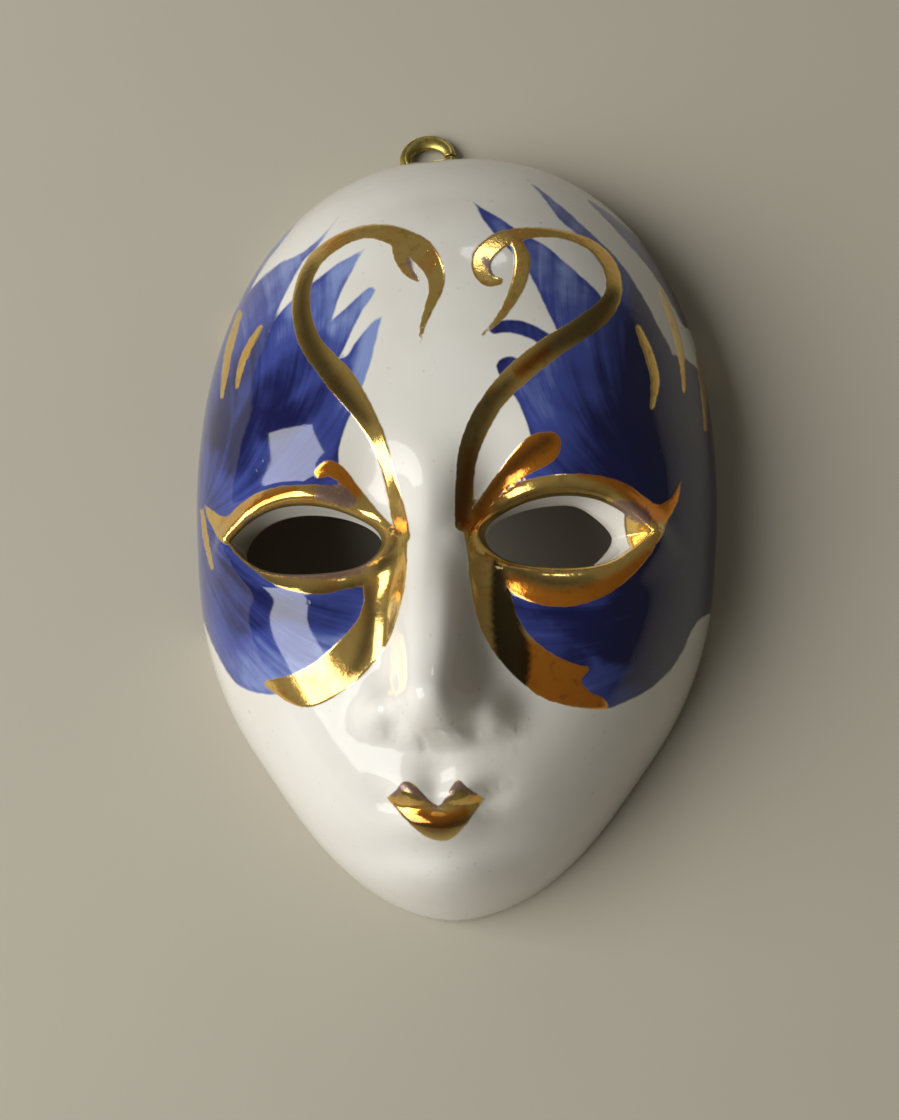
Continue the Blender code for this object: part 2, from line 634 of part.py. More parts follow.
def make_cement(material, shift):
    """Rounded bed of cement on the inner wall, with the strap's tail set into it."""
    rows = columns = CEMENT_FACETS
    end_width, edge_thickness = CEMENT_EDGE
    low, high, faces = [], [], []
    for row, (y, _) in enumerate(inner_wall(HANGER_X, CEMENT_FOOT, CEMENT_TOP, rows, 0.0)):
        up = 2 * row / (rows - 1) - 1
        half = CEMENT_WIDTH / 2 * (1 - abs(up) ** 2.5) ** 0.5 + end_width
        for column in range(columns):
            side = 2 * column / (columns - 1) - 1
            wall, normal = wall_normal(HANGER_X + half * side, y)
            body = CEMENT_THICKNESS * ((1 - up ** 4) * (1 - side ** 4)) ** 0.5
            low.append(wall - normal * FIT)
            high.append(wall - normal * (FIT + edge_thickness + body))
    count = rows * columns
    for row in range(rows - 1):
        for column in range(columns - 1):
            here = row * columns + column
            quad = (here, here + 1, here + columns + 1, here + columns)
            faces.append(quad)
            faces.append(tuple(count + corner for corner in reversed(quad)))
    edge = sheet_edge(rows, columns)
    for step, here in enumerate(edge):
        after = edge[(step + 1) % len(edge)]
        faces.append((here, after, count + after, count + here))
    cement = make_object("hanger_cement", np.array(low + high) + shift, faces, material)
    line = tail_wall_line() + shift[1:] * (1, 0)
    line[0] += (line[0] - line[1]) * 4
    line[-1] += (line[-1] - line[-2]) * FIT / np.linalg.norm(line[-1] - line[-2])
    slot = prism(ribbon(line, 2 * (STRAP_GAUGE + FIT)), HANGER_X, STRAP_WIDTH + 2 * FIT)
    cut(cement, make_object("cement_pocket", *slot, material, flat=True), "DIFFERENCE")
    return cement


def main():
    """Clear the scene and build the mask and its hanger."""
    for old in list(bpy.data.objects):
        bpy.data.objects.remove(old, do_unlink=True)
    ceramic = make_material("glazed_white", (0.76, 0.73, 0.69), 0.08, 0.0)
    brass = make_material("brass", (0.72, 0.52, 0.20), 0.28, 1.0)
    cement_grey = make_material("cement", (0.60, 0.57, 0.50), 0.9, 0.0)
    reach = 2 * RING_RADIUS * math.cos(RING_SLOPE) + RING_WIRE / 2
    overhang = PIVOT_LINE_Y + reach - MASK_LENGTH / 2
    shift = np.array([0.0, -overhang / 2, 0.0])
    pivot = np.array([HANGER_X, PIVOT_LINE_Y, PIVOT_Z]) + shift
    make_shell(ceramic, shift)
    make_ring(brass, pivot)
    make_strap(brass, pivot, shift)
    make_cement(cement_grey, shift)
    print("hanger pivot (m):", [round(float(value) * MM, 6) for value in pivot])
    print("ring slope (degrees):", round(math.degrees(RING_SLOPE), 3))


main()
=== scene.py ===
"""Looks of the miniature Venetian mask: fired glaze, blue brushwork, gold lustre, brass hanger.

The face's sizes are in millimetres on the mask's own plan, and a mesh is in metres in the frame.
The brushwork, painted shade and dark reflections among it, is placed by pixels of the 899 x 1120
picture that the camera takes. It lies on the skin as signed distances kept with the mesh, so it
stays where it is from every side.
"""

import logging
import math
from dataclasses import dataclass, replace
from enum import Enum
from typing import ClassVar

import bmesh
import bpy
import numpy as np
from mathutils import Matrix, Vector
from mathutils.geometry import delaunay_2d_cdt


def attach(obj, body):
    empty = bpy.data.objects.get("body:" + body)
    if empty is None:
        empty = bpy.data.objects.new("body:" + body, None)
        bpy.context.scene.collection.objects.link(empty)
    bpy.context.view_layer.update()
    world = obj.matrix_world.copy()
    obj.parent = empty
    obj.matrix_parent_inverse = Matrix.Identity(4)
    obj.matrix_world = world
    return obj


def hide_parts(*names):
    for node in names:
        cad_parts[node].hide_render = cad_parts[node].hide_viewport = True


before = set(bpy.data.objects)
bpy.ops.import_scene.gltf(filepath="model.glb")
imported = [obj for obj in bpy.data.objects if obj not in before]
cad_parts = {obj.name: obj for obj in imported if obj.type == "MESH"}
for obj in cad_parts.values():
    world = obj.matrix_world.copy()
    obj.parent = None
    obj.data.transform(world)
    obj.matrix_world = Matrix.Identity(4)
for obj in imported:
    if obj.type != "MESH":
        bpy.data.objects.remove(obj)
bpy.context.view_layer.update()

MM = 0.001
JOINED = 0.000002           # metres within which a CAD copy's corners are one
FAR = 60.0                  # pixels that stand for nowhere near a painted edge
GONE = 4 * FAR              # what ends a film inside an eye opening
TINY = 1e-9                 # keeps a division from failing
BATCH = 4000                # points measured at a time
DOT_CORE = 0.55             # a dot's full middle, as a share of its size
Colour = tuple[float, float, float]
Span = tuple[float, float]  # where an easing leaves its start and reaches its end
Ramp = tuple[float, float, float, float]    # the same, and what it gives at both
Socket = bpy.types.NodeSocket
log = logging.getLogger("mask")


def smooth(value: np.ndarray, low: float = 0.0, high: float = 1.0) -> np.ndarray:
    """Ease from 0, where the value is low, to 1, where it is high."""
    step = np.clip((value - low) / (high - low), 0.0, 1.0)
    return step * step * (3 - 2 * step)


def in_box(points: np.ndarray, line: np.ndarray, margin: float) -> np.ndarray:
    """Tell which points lie in the box round a line, with a margin."""
    return ((points > line.min(0) - margin) & (points < line.max(0) + margin)).all(1)


def loop_distance(points: np.ndarray, loop: np.ndarray) -> np.ndarray:
    """Measure how far points lie from a closed loop.

    Args:
        points: Points in a plane, one a row.
        loop: Corners of the loop, one a row.

    Returns:
        Distances, negative inside the loop.
    """
    ahead = np.roll(loop, -1, axis=0)
    step = ahead - loop
    size = np.maximum((step ** 2).sum(1), TINY)
    climb = np.where(step[:, 1] == 0, TINY, step[:, 1])
    result = np.empty(len(points))
    for first in range(0, len(points), BATCH):
        some = points[first:first + BATCH]
        off = some[:, None, :] - loop[None]
        share = np.clip((off * step).sum(2) / size, 0.0, 1.0)
        away = np.sqrt(((off - share[..., None] * step) ** 2).sum(2)).min(1)
        y = some[:, 1][:, None]
        crossing = (loop[:, 1] > y) != (ahead[:, 1] > y)
        beyond = some[:, 0][:, None] < loop[:, 0] + step[:, 0] * (y - loop[:, 1]) / climb
        inside = (crossing & beyond).sum(1) % 2 == 1
        result[first:first + BATCH] = np.where(inside, -away, away)
    return result


class Side(Enum):
    """Which eye: the picture's left or right one."""

    LEFT = -1
    RIGHT = 1


@dataclass(frozen=True)
class Swelling:
    """Rounded swelling of the skin, or a hollow where its rise is negative."""

    rise: float
    across: float
    up: float
    wide: float
    high: float

    def at(self, x: np.ndarray, y: np.ndarray, wider: float = 0.0) -> np.ndarray:
        """Give its height at places of the plan, with its spread across made wider."""
        across = (x - self.across) / (self.wide + wider)
        return self.rise * np.exp(-0.5 * (across ** 2 + ((y - self.up) / self.high) ** 2))


@dataclass(frozen=True)
class FaceForm:
    """Heights of the mask's two skins over its flat rim, and the outlines that they share."""

    length: float = 61.5
    width: float = 41.0
    dome_height: float = 15.4
    wall: float = 3.0
    widest_y: float = 2.5
    fullness: tuple[float, float] = (2.25, 1.82)
    blend: float = 0.35
    cheek: tuple[float, float, float] = (0.03, -0.6, 0.28)
    jaw_cut: tuple[float, float, float] = (0.014, -0.88, 0.09)
    profile_power: tuple[float, float, float] = (3.1, 2.7, 4.6)
    profile_edge: tuple[float, float, float] = (0.58, 0.66, 0.62)
    edge_fade: float = 18.0
    face_x: float = -0.6
    mouth_y: float = -23.2
    mouth_half: float = 3.4
    mouth_bow: float = 0.6
    mouth_line: float = 0.3
    mouth_cut: float = 0.5
    nose_base_y: float = -19.3
    nose_tip_y: float = -16.2
    nose_root_y: float = 2.0
    nose_x: float = 0.5
    nose_rise: float = 5.15
    nose_sweep: float = 1.35
    nose_width: tuple[float, float] = (1.85, 0.1)
    nose_top: float = 3.0
    nose_under: tuple[float, float] = (2.2, 0.6)
    wing_x: float = 3.8
    wing_lift: float = 0.35
    eye_y: float = -4.45
    eye_x: tuple[float, float] = (8.95, 9.25)
    eye_length: float = 11.2
    eye_above: float = 2.3
    eye_drop: tuple[float, float] = (0.5, 0.3)
    eye_below: float = 2.75
    eye_tilt: tuple[float, float] = (5.0, 2.2)
    eye_point: tuple[float, float] = (0.5, 0.92)
    eye_draft: float = 0.1
    eye_outer: Span = (-0.2, 1.0)
    back_point: float = 0.2
    eye_reach: tuple[float, float] = (19.0, 9.0)
    outer_cut: tuple[float, float] = (0.2, 2.4)
    eye_tall: tuple[float, float] = (1.0, 1.03)
    lid_rise: float = 0.7
    lid_width: tuple[float, float] = (1.5, 2.6)
    lid_crest: tuple[float, float] = (0.4, 0.45)
    lid_steps: int = 88
    lid_below: Span = (-0.5, 1.5)
    brow_slope: float = 0.12
    inner_nose: tuple[float, float] = (0.8, 0.7)
    hanger_x: float = -2.3
    notch_width: float = 6.0
    notch_height: float = 2.45
    notch_squareness: float = 8.0
    notch_reach: float = 1.25
    plan_stretch: float = 1.3
    shift_y: float = -1.504
    tip_ball: Swelling = Swelling(0.65, 0.0, -16.9, 1.5, 1.6)
    nostril: Swelling = Swelling(-1.15, 2.35, -18.6, 0.6, 0.7)
    wing: Swelling = Swelling(2.1, 3.65, -17.5, 0.95, 1.3)
    upper_lip: Swelling = Swelling(0.75, 1.4, 0.8, 1.1, 0.55)
    lower_lip: Swelling = Swelling(1.05, 0.0, -1.1, 1.9, 0.8)
    mouth_corner: Swelling = Swelling(-0.35, 3.6, 0.0, 0.9, 0.9)
    philtrum: Swelling = Swelling(-0.6, 0.0, -21.3, 0.85, 1.0)
    lip_hollow: Swelling = Swelling(-0.8, 0.0, -26.0, 3.2, 0.9)
    chin: Swelling = Swelling(1.5, 0.0, -27.7, 3.6, 1.7)
    muzzle: Swelling = Swelling(1.3, 0.0, -22.8, 5.2, 3.3)
    cheek_pad: Swelling = Swelling(1.0, 10.2, -12.6, 4.6, 5.2)
    forehead: Swelling = Swelling(0.9, 0.0, 9.0, 9.0, 9.0)
    socket: Swelling = Swelling(-1.6, 8.65, -4.05, 4.8, 3.2)
    beside_nose: Swelling = Swelling(-1.5, 4.3, -4.05, 1.8, 3.6)
    brow: Swelling = Swelling(0.8, 8.6, 0.8, 5.2, 1.8)
    inner_socket: Swelling = Swelling(-1.1, 7.25, -4.45, 4.5, 3.6)

    def by_direction(self, values: tuple[float, float, float], rise: np.ndarray) -> np.ndarray:
        """Blend the values of the side, the crown and the chin by the sines of directions."""
        crown, chin = smooth(rise), smooth(-rise)
        return values[0] * (1 - crown - chin) + values[1] * crown + values[2] * chin

    def radius(self, angle: np.ndarray, inset: float = 0.0) -> np.ndarray:
        """Give the outline's distance from its pole.

        Args:
            angle: Directions from the pole.
            inset: How far inside the outline.

        Returns:
            Distances in millimetres.
        """
        sine = np.sin(angle)
        upper = smooth(sine, -self.blend, self.blend)
        reach = self.length / 2 + self.widest_y * (1 - 2 * upper) - inset
        power = self.fullness[1] + (self.fullness[0] - self.fullness[1]) * upper
        across = (np.abs(np.cos(angle)) / (self.width / 2 - inset)) ** power
        along = (np.abs(sine) / reach) ** power
        full = 1 + self.cheek[0] * np.exp(-((sine - self.cheek[1]) / self.cheek[2]) ** 2)
        full -= self.jaw_cut[0] * np.exp(-((sine - self.jaw_cut[1]) / self.jaw_cut[2]) ** 2)
        return (across + along) ** (-1 / power) * full

    def dome(self, x: np.ndarray, y: np.ndarray, height: float, inset: float) -> tuple:
        """Give the plain dome over the outline.

        Args:
            x: Places across.
            y: Places up.
            height: The dome's height.
            inset: How far inside the outline it stands.

        Returns:
            Heights, and how far out each place lies, from 0 to 1.
        """
        angle = np.arctan2(y - self.widest_y, x)
        out = np.clip(np.hypot(x, y - self.widest_y) / self.radius(angle, inset), 0.0, 1.0)
        power = self.by_direction(self.profile_power, np.sin(angle))
        edge = self.by_direction(self.profile_edge, np.sin(angle))
        return height * (1 - out ** power) ** edge, out

    def eye_loop(self, side: Side, steps: int, back: bool = False, grow: float = 0.0) -> np.ndarray:
        """Draw the edge of an eye opening.

        Args:
            side: Which eye.
            steps: Points round it.
            back: Whether it is the edge in the hollow.
            grow: How far outside the opening the line runs.

        Returns:
            Points in the plan, from the inner corner over the upper lid.
        """
        turn = np.linspace(0, 2 * math.pi, steps, endpoint=False)
        along = -np.cos(turn)
        which = 0 if side is Side.LEFT else 1
        outer = smooth(along, *self.eye_outer)
        share = outer * (self.back_point if back else 1.0)
        pointed = self.eye_point[0] + (self.eye_point[1] - self.eye_point[0]) * share
        tall = self.eye_tall[which]
        above, below = self.eye_above * tall + grow, self.eye_below * tall + grow
        lift = np.where(np.sin(turn) >= 0, above, -below) * (1 - along ** 2) ** pointed
        reach = along * (self.eye_length / 2 + grow)
        if back:
            reach = reach * (1 - 2 * self.eye_draft / self.eye_length)
            reach = reach - self.outer_cut[which] * outer
            lift = lift * (1 - self.eye_draft / self.eye_above)
        tilt = math.radians(self.eye_tilt[which])
        x = self.eye_x[which] + reach * math.cos(tilt) - lift * math.sin(tilt)
        y = self.eye_y - self.eye_drop[which] + reach * math.sin(tilt) + lift * math.cos(tilt)
        return np.stack([self.face_x + side.value * x, y], axis=1)

    def nose_base(self, x: np.ndarray) -> np.ndarray:
        """Line where the nose's underside meets the lip."""
        return self.nose_base_y + self.wing_lift * np.clip(np.abs(x) / self.wing_x, 0.0, 1.5) ** 2

    def lips_line(self, x: np.ndarray) -> np.ndarray:
        """Line between the lips."""
        return self.mouth_y + self.mouth_bow * (x / self.mouth_half) ** 2

    def nose(self, x: np.ndarray, y: np.ndarray, wider: float = 0.0) -> np.ndarray:
        """Give the height of the nose.

        Args:
            x: Places across from the face's middle line.
            y: Places up.
            wider: How much broader the form is.

        Returns:
            Heights in millimetres.
        """
        along = np.clip((self.nose_root_y - y) / (self.nose_root_y - self.nose_tip_y), 0.0, 1.0)
        width = self.nose_width[0] + self.nose_width[1] * along + wider
        ridge = np.exp(-0.5 * np.abs(x / width) ** self.nose_top)
        form = self.nose_rise * along ** self.nose_sweep * ridge
        form = form + self.tip_ball.at(x, y, wider) + self.wing.at(np.abs(x), y, wider)
        form = form + self.nostril.at(np.abs(x), y, wider)
        down = np.clip((self.nose_tip_y - y) / (self.nose_tip_y - self.nose_base(x)), 0.0, 1.0)
        return form * (1 - down ** self.nose_under[0]) ** self.nose_under[1]

    def mouth(self, x: np.ndarray, y: np.ndarray) -> np.ndarray:
        """Give the height of the lips and of the hollows round them.

        Args:
            x: Places across from the face's middle line.
            y: Places up.

        Returns:
            Heights in millimetres.
        """
        above, side_x = y - self.lips_line(x), np.abs(x)
        beyond = (x / self.mouth_half) ** 6
        parting = self.mouth_cut * np.exp(-0.5 * (above / self.mouth_line) ** 2 - beyond)
        lips = self.upper_lip.at(side_x, above) + self.lower_lip.at(x, above) - parting
        hollows = self.philtrum.at(x, y) + self.lip_hollow.at(x, y)
        return lips + self.mouth_corner.at(side_x, above) + hollows

    def eyes(self, x: np.ndarray, y: np.ndarray) -> np.ndarray:
        """Give the height of the sockets, brows and raised lids.

        Args:
            x: Places across from the face's middle line.
            y: Places up.

        Returns:
            Heights in millimetres.
        """
        side_x = np.abs(x)
        away = np.full(len(x), self.eye_reach[1])
        near = (np.abs(y - self.eye_y) < self.eye_reach[1]) & (side_x < self.eye_reach[0])
        places = np.stack([self.face_x + x[near], y[near]], axis=1)
        loops = [loop_distance(places, self.eye_loop(side, self.lid_steps)) for side in Side]
        away[near] = np.maximum(np.minimum(*loops), 0.0)
        below = smooth(self.eye_y - y, *self.lid_below)
        width = self.lid_width[0] + (self.lid_width[1] - self.lid_width[0]) * below
        lid = self.lid_rise * np.exp(-((away / width - self.lid_crest[0]) / self.lid_crest[1]) ** 2)
        sunk = self.socket.at(side_x, y) + self.beside_nose.at(side_x, y)
        return lid + self.brow.at(side_x, y - self.brow_slope * side_x) + sunk

    def broad(self, x: np.ndarray, y: np.ndarray) -> np.ndarray:
        """Cheeks, forehead and the fullness round the mouth."""
        return self.cheek_pad.at(np.abs(x), y) + self.muzzle.at(x, y) + self.forehead.at(x, y)

    def front(self, x: np.ndarray, y: np.ndarray) -> np.ndarray:
        """Give the height of the glazed face.

        Args:
            x: Places across the plan.
            y: Places up the plan.

        Returns:
            Heights in millimetres.
        """
        plain, out = self.dome(x, y, self.dome_height, 0.0)
        across = x - self.face_x
        middle = across - self.nose_x
        form = self.nose(middle, y) + self.mouth(middle, y) + self.eyes(across, y)
        form = form + self.broad(across, y) + self.chin.at(middle, y)
        return plain + form * (1 - out ** self.edge_fade)

    def hollow(self, x: np.ndarray, y: np.ndarray) -> np.ndarray:
        """Give the height of the hollow's ceiling.

        Args:
            x: Places across the plan.
            y: Places up the plan.

        Returns:
            Heights in millimetres.
        """
        plain, out = self.dome(x, y, self.dome_height - self.wall, self.wall)
        across = x - self.face_x
        soft = self.inner_nose[0] * self.nose(across - self.nose_x, y, self.inner_nose[1])
        soft = soft + self.broad(across, y) + self.inner_socket.at(np.abs(across), y)
        return plain + soft * (1 - out ** self.edge_fade)

    def rim(self, steps: int, notch_steps: int, height: float, inset: float, lift: float) -> tuple:
        """Draw one edge of the flat rim, which rises over the hanging notch.

        Args:
            steps: Points round it.
            notch_steps: Points over the notch.
            height: Height of the dome whose edge it is.
            inset: How far inside the outline it lies.
            lift: How high over the foot the skin ends.

        Returns:
            Points in the plan, and the foot's height under each.
        """
        angle = np.linspace(0, 2 * math.pi, steps, endpoint=False)
        middle = math.pi / 2 - self.hanger_x / (self.length / 2)
        half = self.notch_reach * self.notch_width / self.length
        clear = np.abs(angle - middle) > half + math.pi / (2 * steps)
        close = middle + half * np.linspace(-1, 1, notch_steps)
        angle = np.sort(np.concatenate([angle[clear], close]))
        radius = self.radius(angle, inset)
        beside = np.abs(radius * np.cos(angle) - self.hanger_x)
        across = np.clip(beside / (self.notch_width / 2), 0.0, 1.0)
        arch = self.notch_height * np.sqrt(1 - across ** self.notch_squareness)
        foot = np.where(np.sin(angle) > 0, arch, 0.0)
        power = self.by_direction(self.profile_power, np.sin(angle))
        edge = self.by_direction(self.profile_edge, np.sin(angle))
        out = (1 - ((foot + lift) / height) ** (1 / edge)) ** (1 / power)
        x, y = out * radius * np.cos(angle), self.widest_y + out * radius * np.sin(angle)
        return np.stack([x, y], axis=1), foot

    def spread(self, plan: np.ndarray, inset: float) -> np.ndarray:
        """Stretch the plan so that equal steps on it are about equal on the skin.

        Args:
            plan: Points of the plan.
            inset: How far inside the outline the skin stands.

        Returns:
            The stretched points.
        """
        x, y = plan[:, 0], plan[:, 1] - self.widest_y
        out = np.clip(np.hypot(x, y) / self.radius(np.arctan2(y, x), inset), TINY, 1.0)
        grown = np.arcsin(out) * 2 / math.pi * self.plan_stretch / out
        return np.stack([x * grown, y * grown], axis=1)

    def gather(self, flat: np.ndarray, inset: float) -> np.ndarray:
        """Undo spread.

        Args:
            flat: Points of the stretched plan.
            inset: How far inside the outline the skin stands.

        Returns:
            Points of the plan.
        """
        radius = self.radius(np.arctan2(flat[:, 1], flat[:, 0]), inset)
        turn = np.clip(np.hypot(flat[:, 0], flat[:, 1]) / self.plan_stretch / radius, TINY, 1.0)
        shrunk = np.sin(turn * math.pi / 2) / turn / self.plan_stretch
        return np.stack([flat[:, 0] * shrunk, flat[:, 1] * shrunk + self.widest_y], axis=1)


@dataclass(frozen=True)
class PictureView:
    """The camera: where it stands over the mask, and where a point falls in its picture."""

    size: tuple[int, int] = (899, 1120)
    focal: float = 1250.0
    target: tuple[float, float, float] = (-0.12, -4.36, 4.0)
    distance: float = 94.3
    lean: float = 13.6
    aside: float = 4.68
    roll: float = 0.15
    sensor: float = 36.0
    clip: tuple[float, float] = (0.005, 20.0)

    def axes(self) -> tuple[np.ndarray, np.ndarray]:
        """Give the camera's place and axes.

        Returns:
            Its place on the mask's plan, and its right, up and backward axes as rows.
        """
        aside, lean = math.radians(self.aside), math.radians(self.lean)
        back = np.array([math.tan(aside), -math.tan(lean), 1.0])
        back /= np.linalg.norm(back)
        right = np.cross([0.0, 1.0, 0.0], back)
        right /= np.linalg.norm(right)
        up = np.cross(back, right)
        turn = math.radians(self.roll)
        cosine, sine = math.cos(turn), math.sin(turn)
        rows = np.array([cosine * right + sine * up, cosine * up - sine * right, back])
        return np.array(self.target) + self.distance * back, rows

    def pixels(self, points: np.ndarray) -> np.ndarray:
        """Find where points fall in the picture.

        Args:
            points: Points in millimetres on the mask's plan.

        Returns:
            Pixels across and down, one point a row.
        """
        place, rows = self.axes()
        seen = (points - place) @ rows.T
        across = self.size[0] / 2 + self.focal * seen[:, 0] / -seen[:, 2]
        down = self.size[1] / 2 - self.focal * seen[:, 1] / -seen[:, 2]
        return np.stack([across, down], axis=1)

    def build(self, shift_y: float) -> None:
        """Make the camera and give it to the scene.

        Args:
            shift_y: The plan's shift in the frame, in millimetres.
        """
        data = bpy.data.cameras.new("picture_camera")
        data.sensor_fit = "HORIZONTAL"
        data.sensor_width = self.sensor
        data.lens = self.sensor * self.focal / self.size[0]
        data.clip_start, data.clip_end = self.clip
        camera = bpy.data.objects.new("picture_camera", data)
        bpy.context.scene.collection.objects.link(camera)
        place, rows = self.axes()
        matrix = Matrix(rows.T.tolist()).to_4x4()
        matrix.translation = (Vector(place) + Vector((0, shift_y, 0))) * MM
        camera.matrix_world = matrix
        bpy.context.scene.camera = camera


def curve_through(points: np.ndarray, closed: bool, steps: int = 8) -> np.ndarray:
    """Run a smooth curve through points; a point given twice makes a corner.

    Args:
        points: The points, with any further numbers that go along with them.
        closed: Whether the curve returns to its start.
        steps: Short lines from one point to the next.

    Returns:
        Points along the curve.
    """
    if closed:
        ring = np.concatenate([points[-1:], points, points[:2]])
    else:
        ring = np.concatenate([points[:1], points, points[-1:]])
    before, here, after, last = ring[:-3], ring[1:-2], ring[2:-1], ring[3:]
    lines = []
    for share in np.arange(steps) / steps:
        square, cube = share ** 2, share ** 3
        lines.append(0.5 * (2 * here + (after - before) * share
                            + (2 * before - 5 * here + 4 * after - last) * square
                            + (3 * here - before - 3 * after + last) * cube))
    curve = np.stack(lines, axis=1).reshape(-1, points.shape[1])
    return curve if closed else np.concatenate([curve, points[-1:]])


@dataclass(frozen=True)
class Patch:
    """Painted area, given by the pixels round it."""

    outline: tuple[tuple[float, float], ...]
    steps: ClassVar[int] = 5
    margin: ClassVar[float] = 24.0

    def depth(self, pixels: np.ndarray) -> np.ndarray:
        """Measure how deep inside the area points lie.

        Args:
            pixels: Where the points fall in the picture.

        Returns:
            Pixels from its edge, negative outside.
        """
        loop = curve_through(np.array(self.outline, float), True, self.steps)
        near = in_box(pixels, loop, self.margin)
        result = np.full(len(pixels), -FAR)
        result[near] = -loop_distance(pixels[near], loop)
        return result


@dataclass(frozen=True)
class Stroke:
    """Line of a brush or pen: pixels along its middle, each with its width there."""

    points: tuple[tuple[float, float, float], ...]
    margin: ClassVar[float] = 40.0

    def depth(self, pixels: np.ndarray) -> np.ndarray:
        """Measure how deep inside the line points lie.

        Args:
            pixels: Where the points fall in the picture.

        Returns:
            Pixels from its edge, negative outside.
        """
        line = curve_through(np.array(self.points, float), False)
        near = in_box(pixels, line[:, :2], self.margin)
        result = np.full(len(pixels), -FAR)
        places = pixels[near]
        best = np.full(len(places), -FAR)
        for first, second in zip(line[:-1], line[1:]):
            step = second - first
            size = max(float(step[:2] @ step[:2]), TINY)
            share = np.clip(((places - first[:2]) @ step[:2]) / size, 0.0, 1.0)
            off = places - first[:2] - share[:, None] * step[:2]
            best = np.maximum(best, (first[2] + share * step[2]) / 2 - np.linalg.norm(off, axis=1))
        result[near] = best
        return result


Mark = Patch | Stroke


def deepest(marks: tuple[Mark, ...], pixels: np.ndarray) -> np.ndarray:
    """Join marks of one film: pixels inside their joined edge, negative outside."""
    return np.max([mark.depth(pixels) for mark in marks], axis=0)


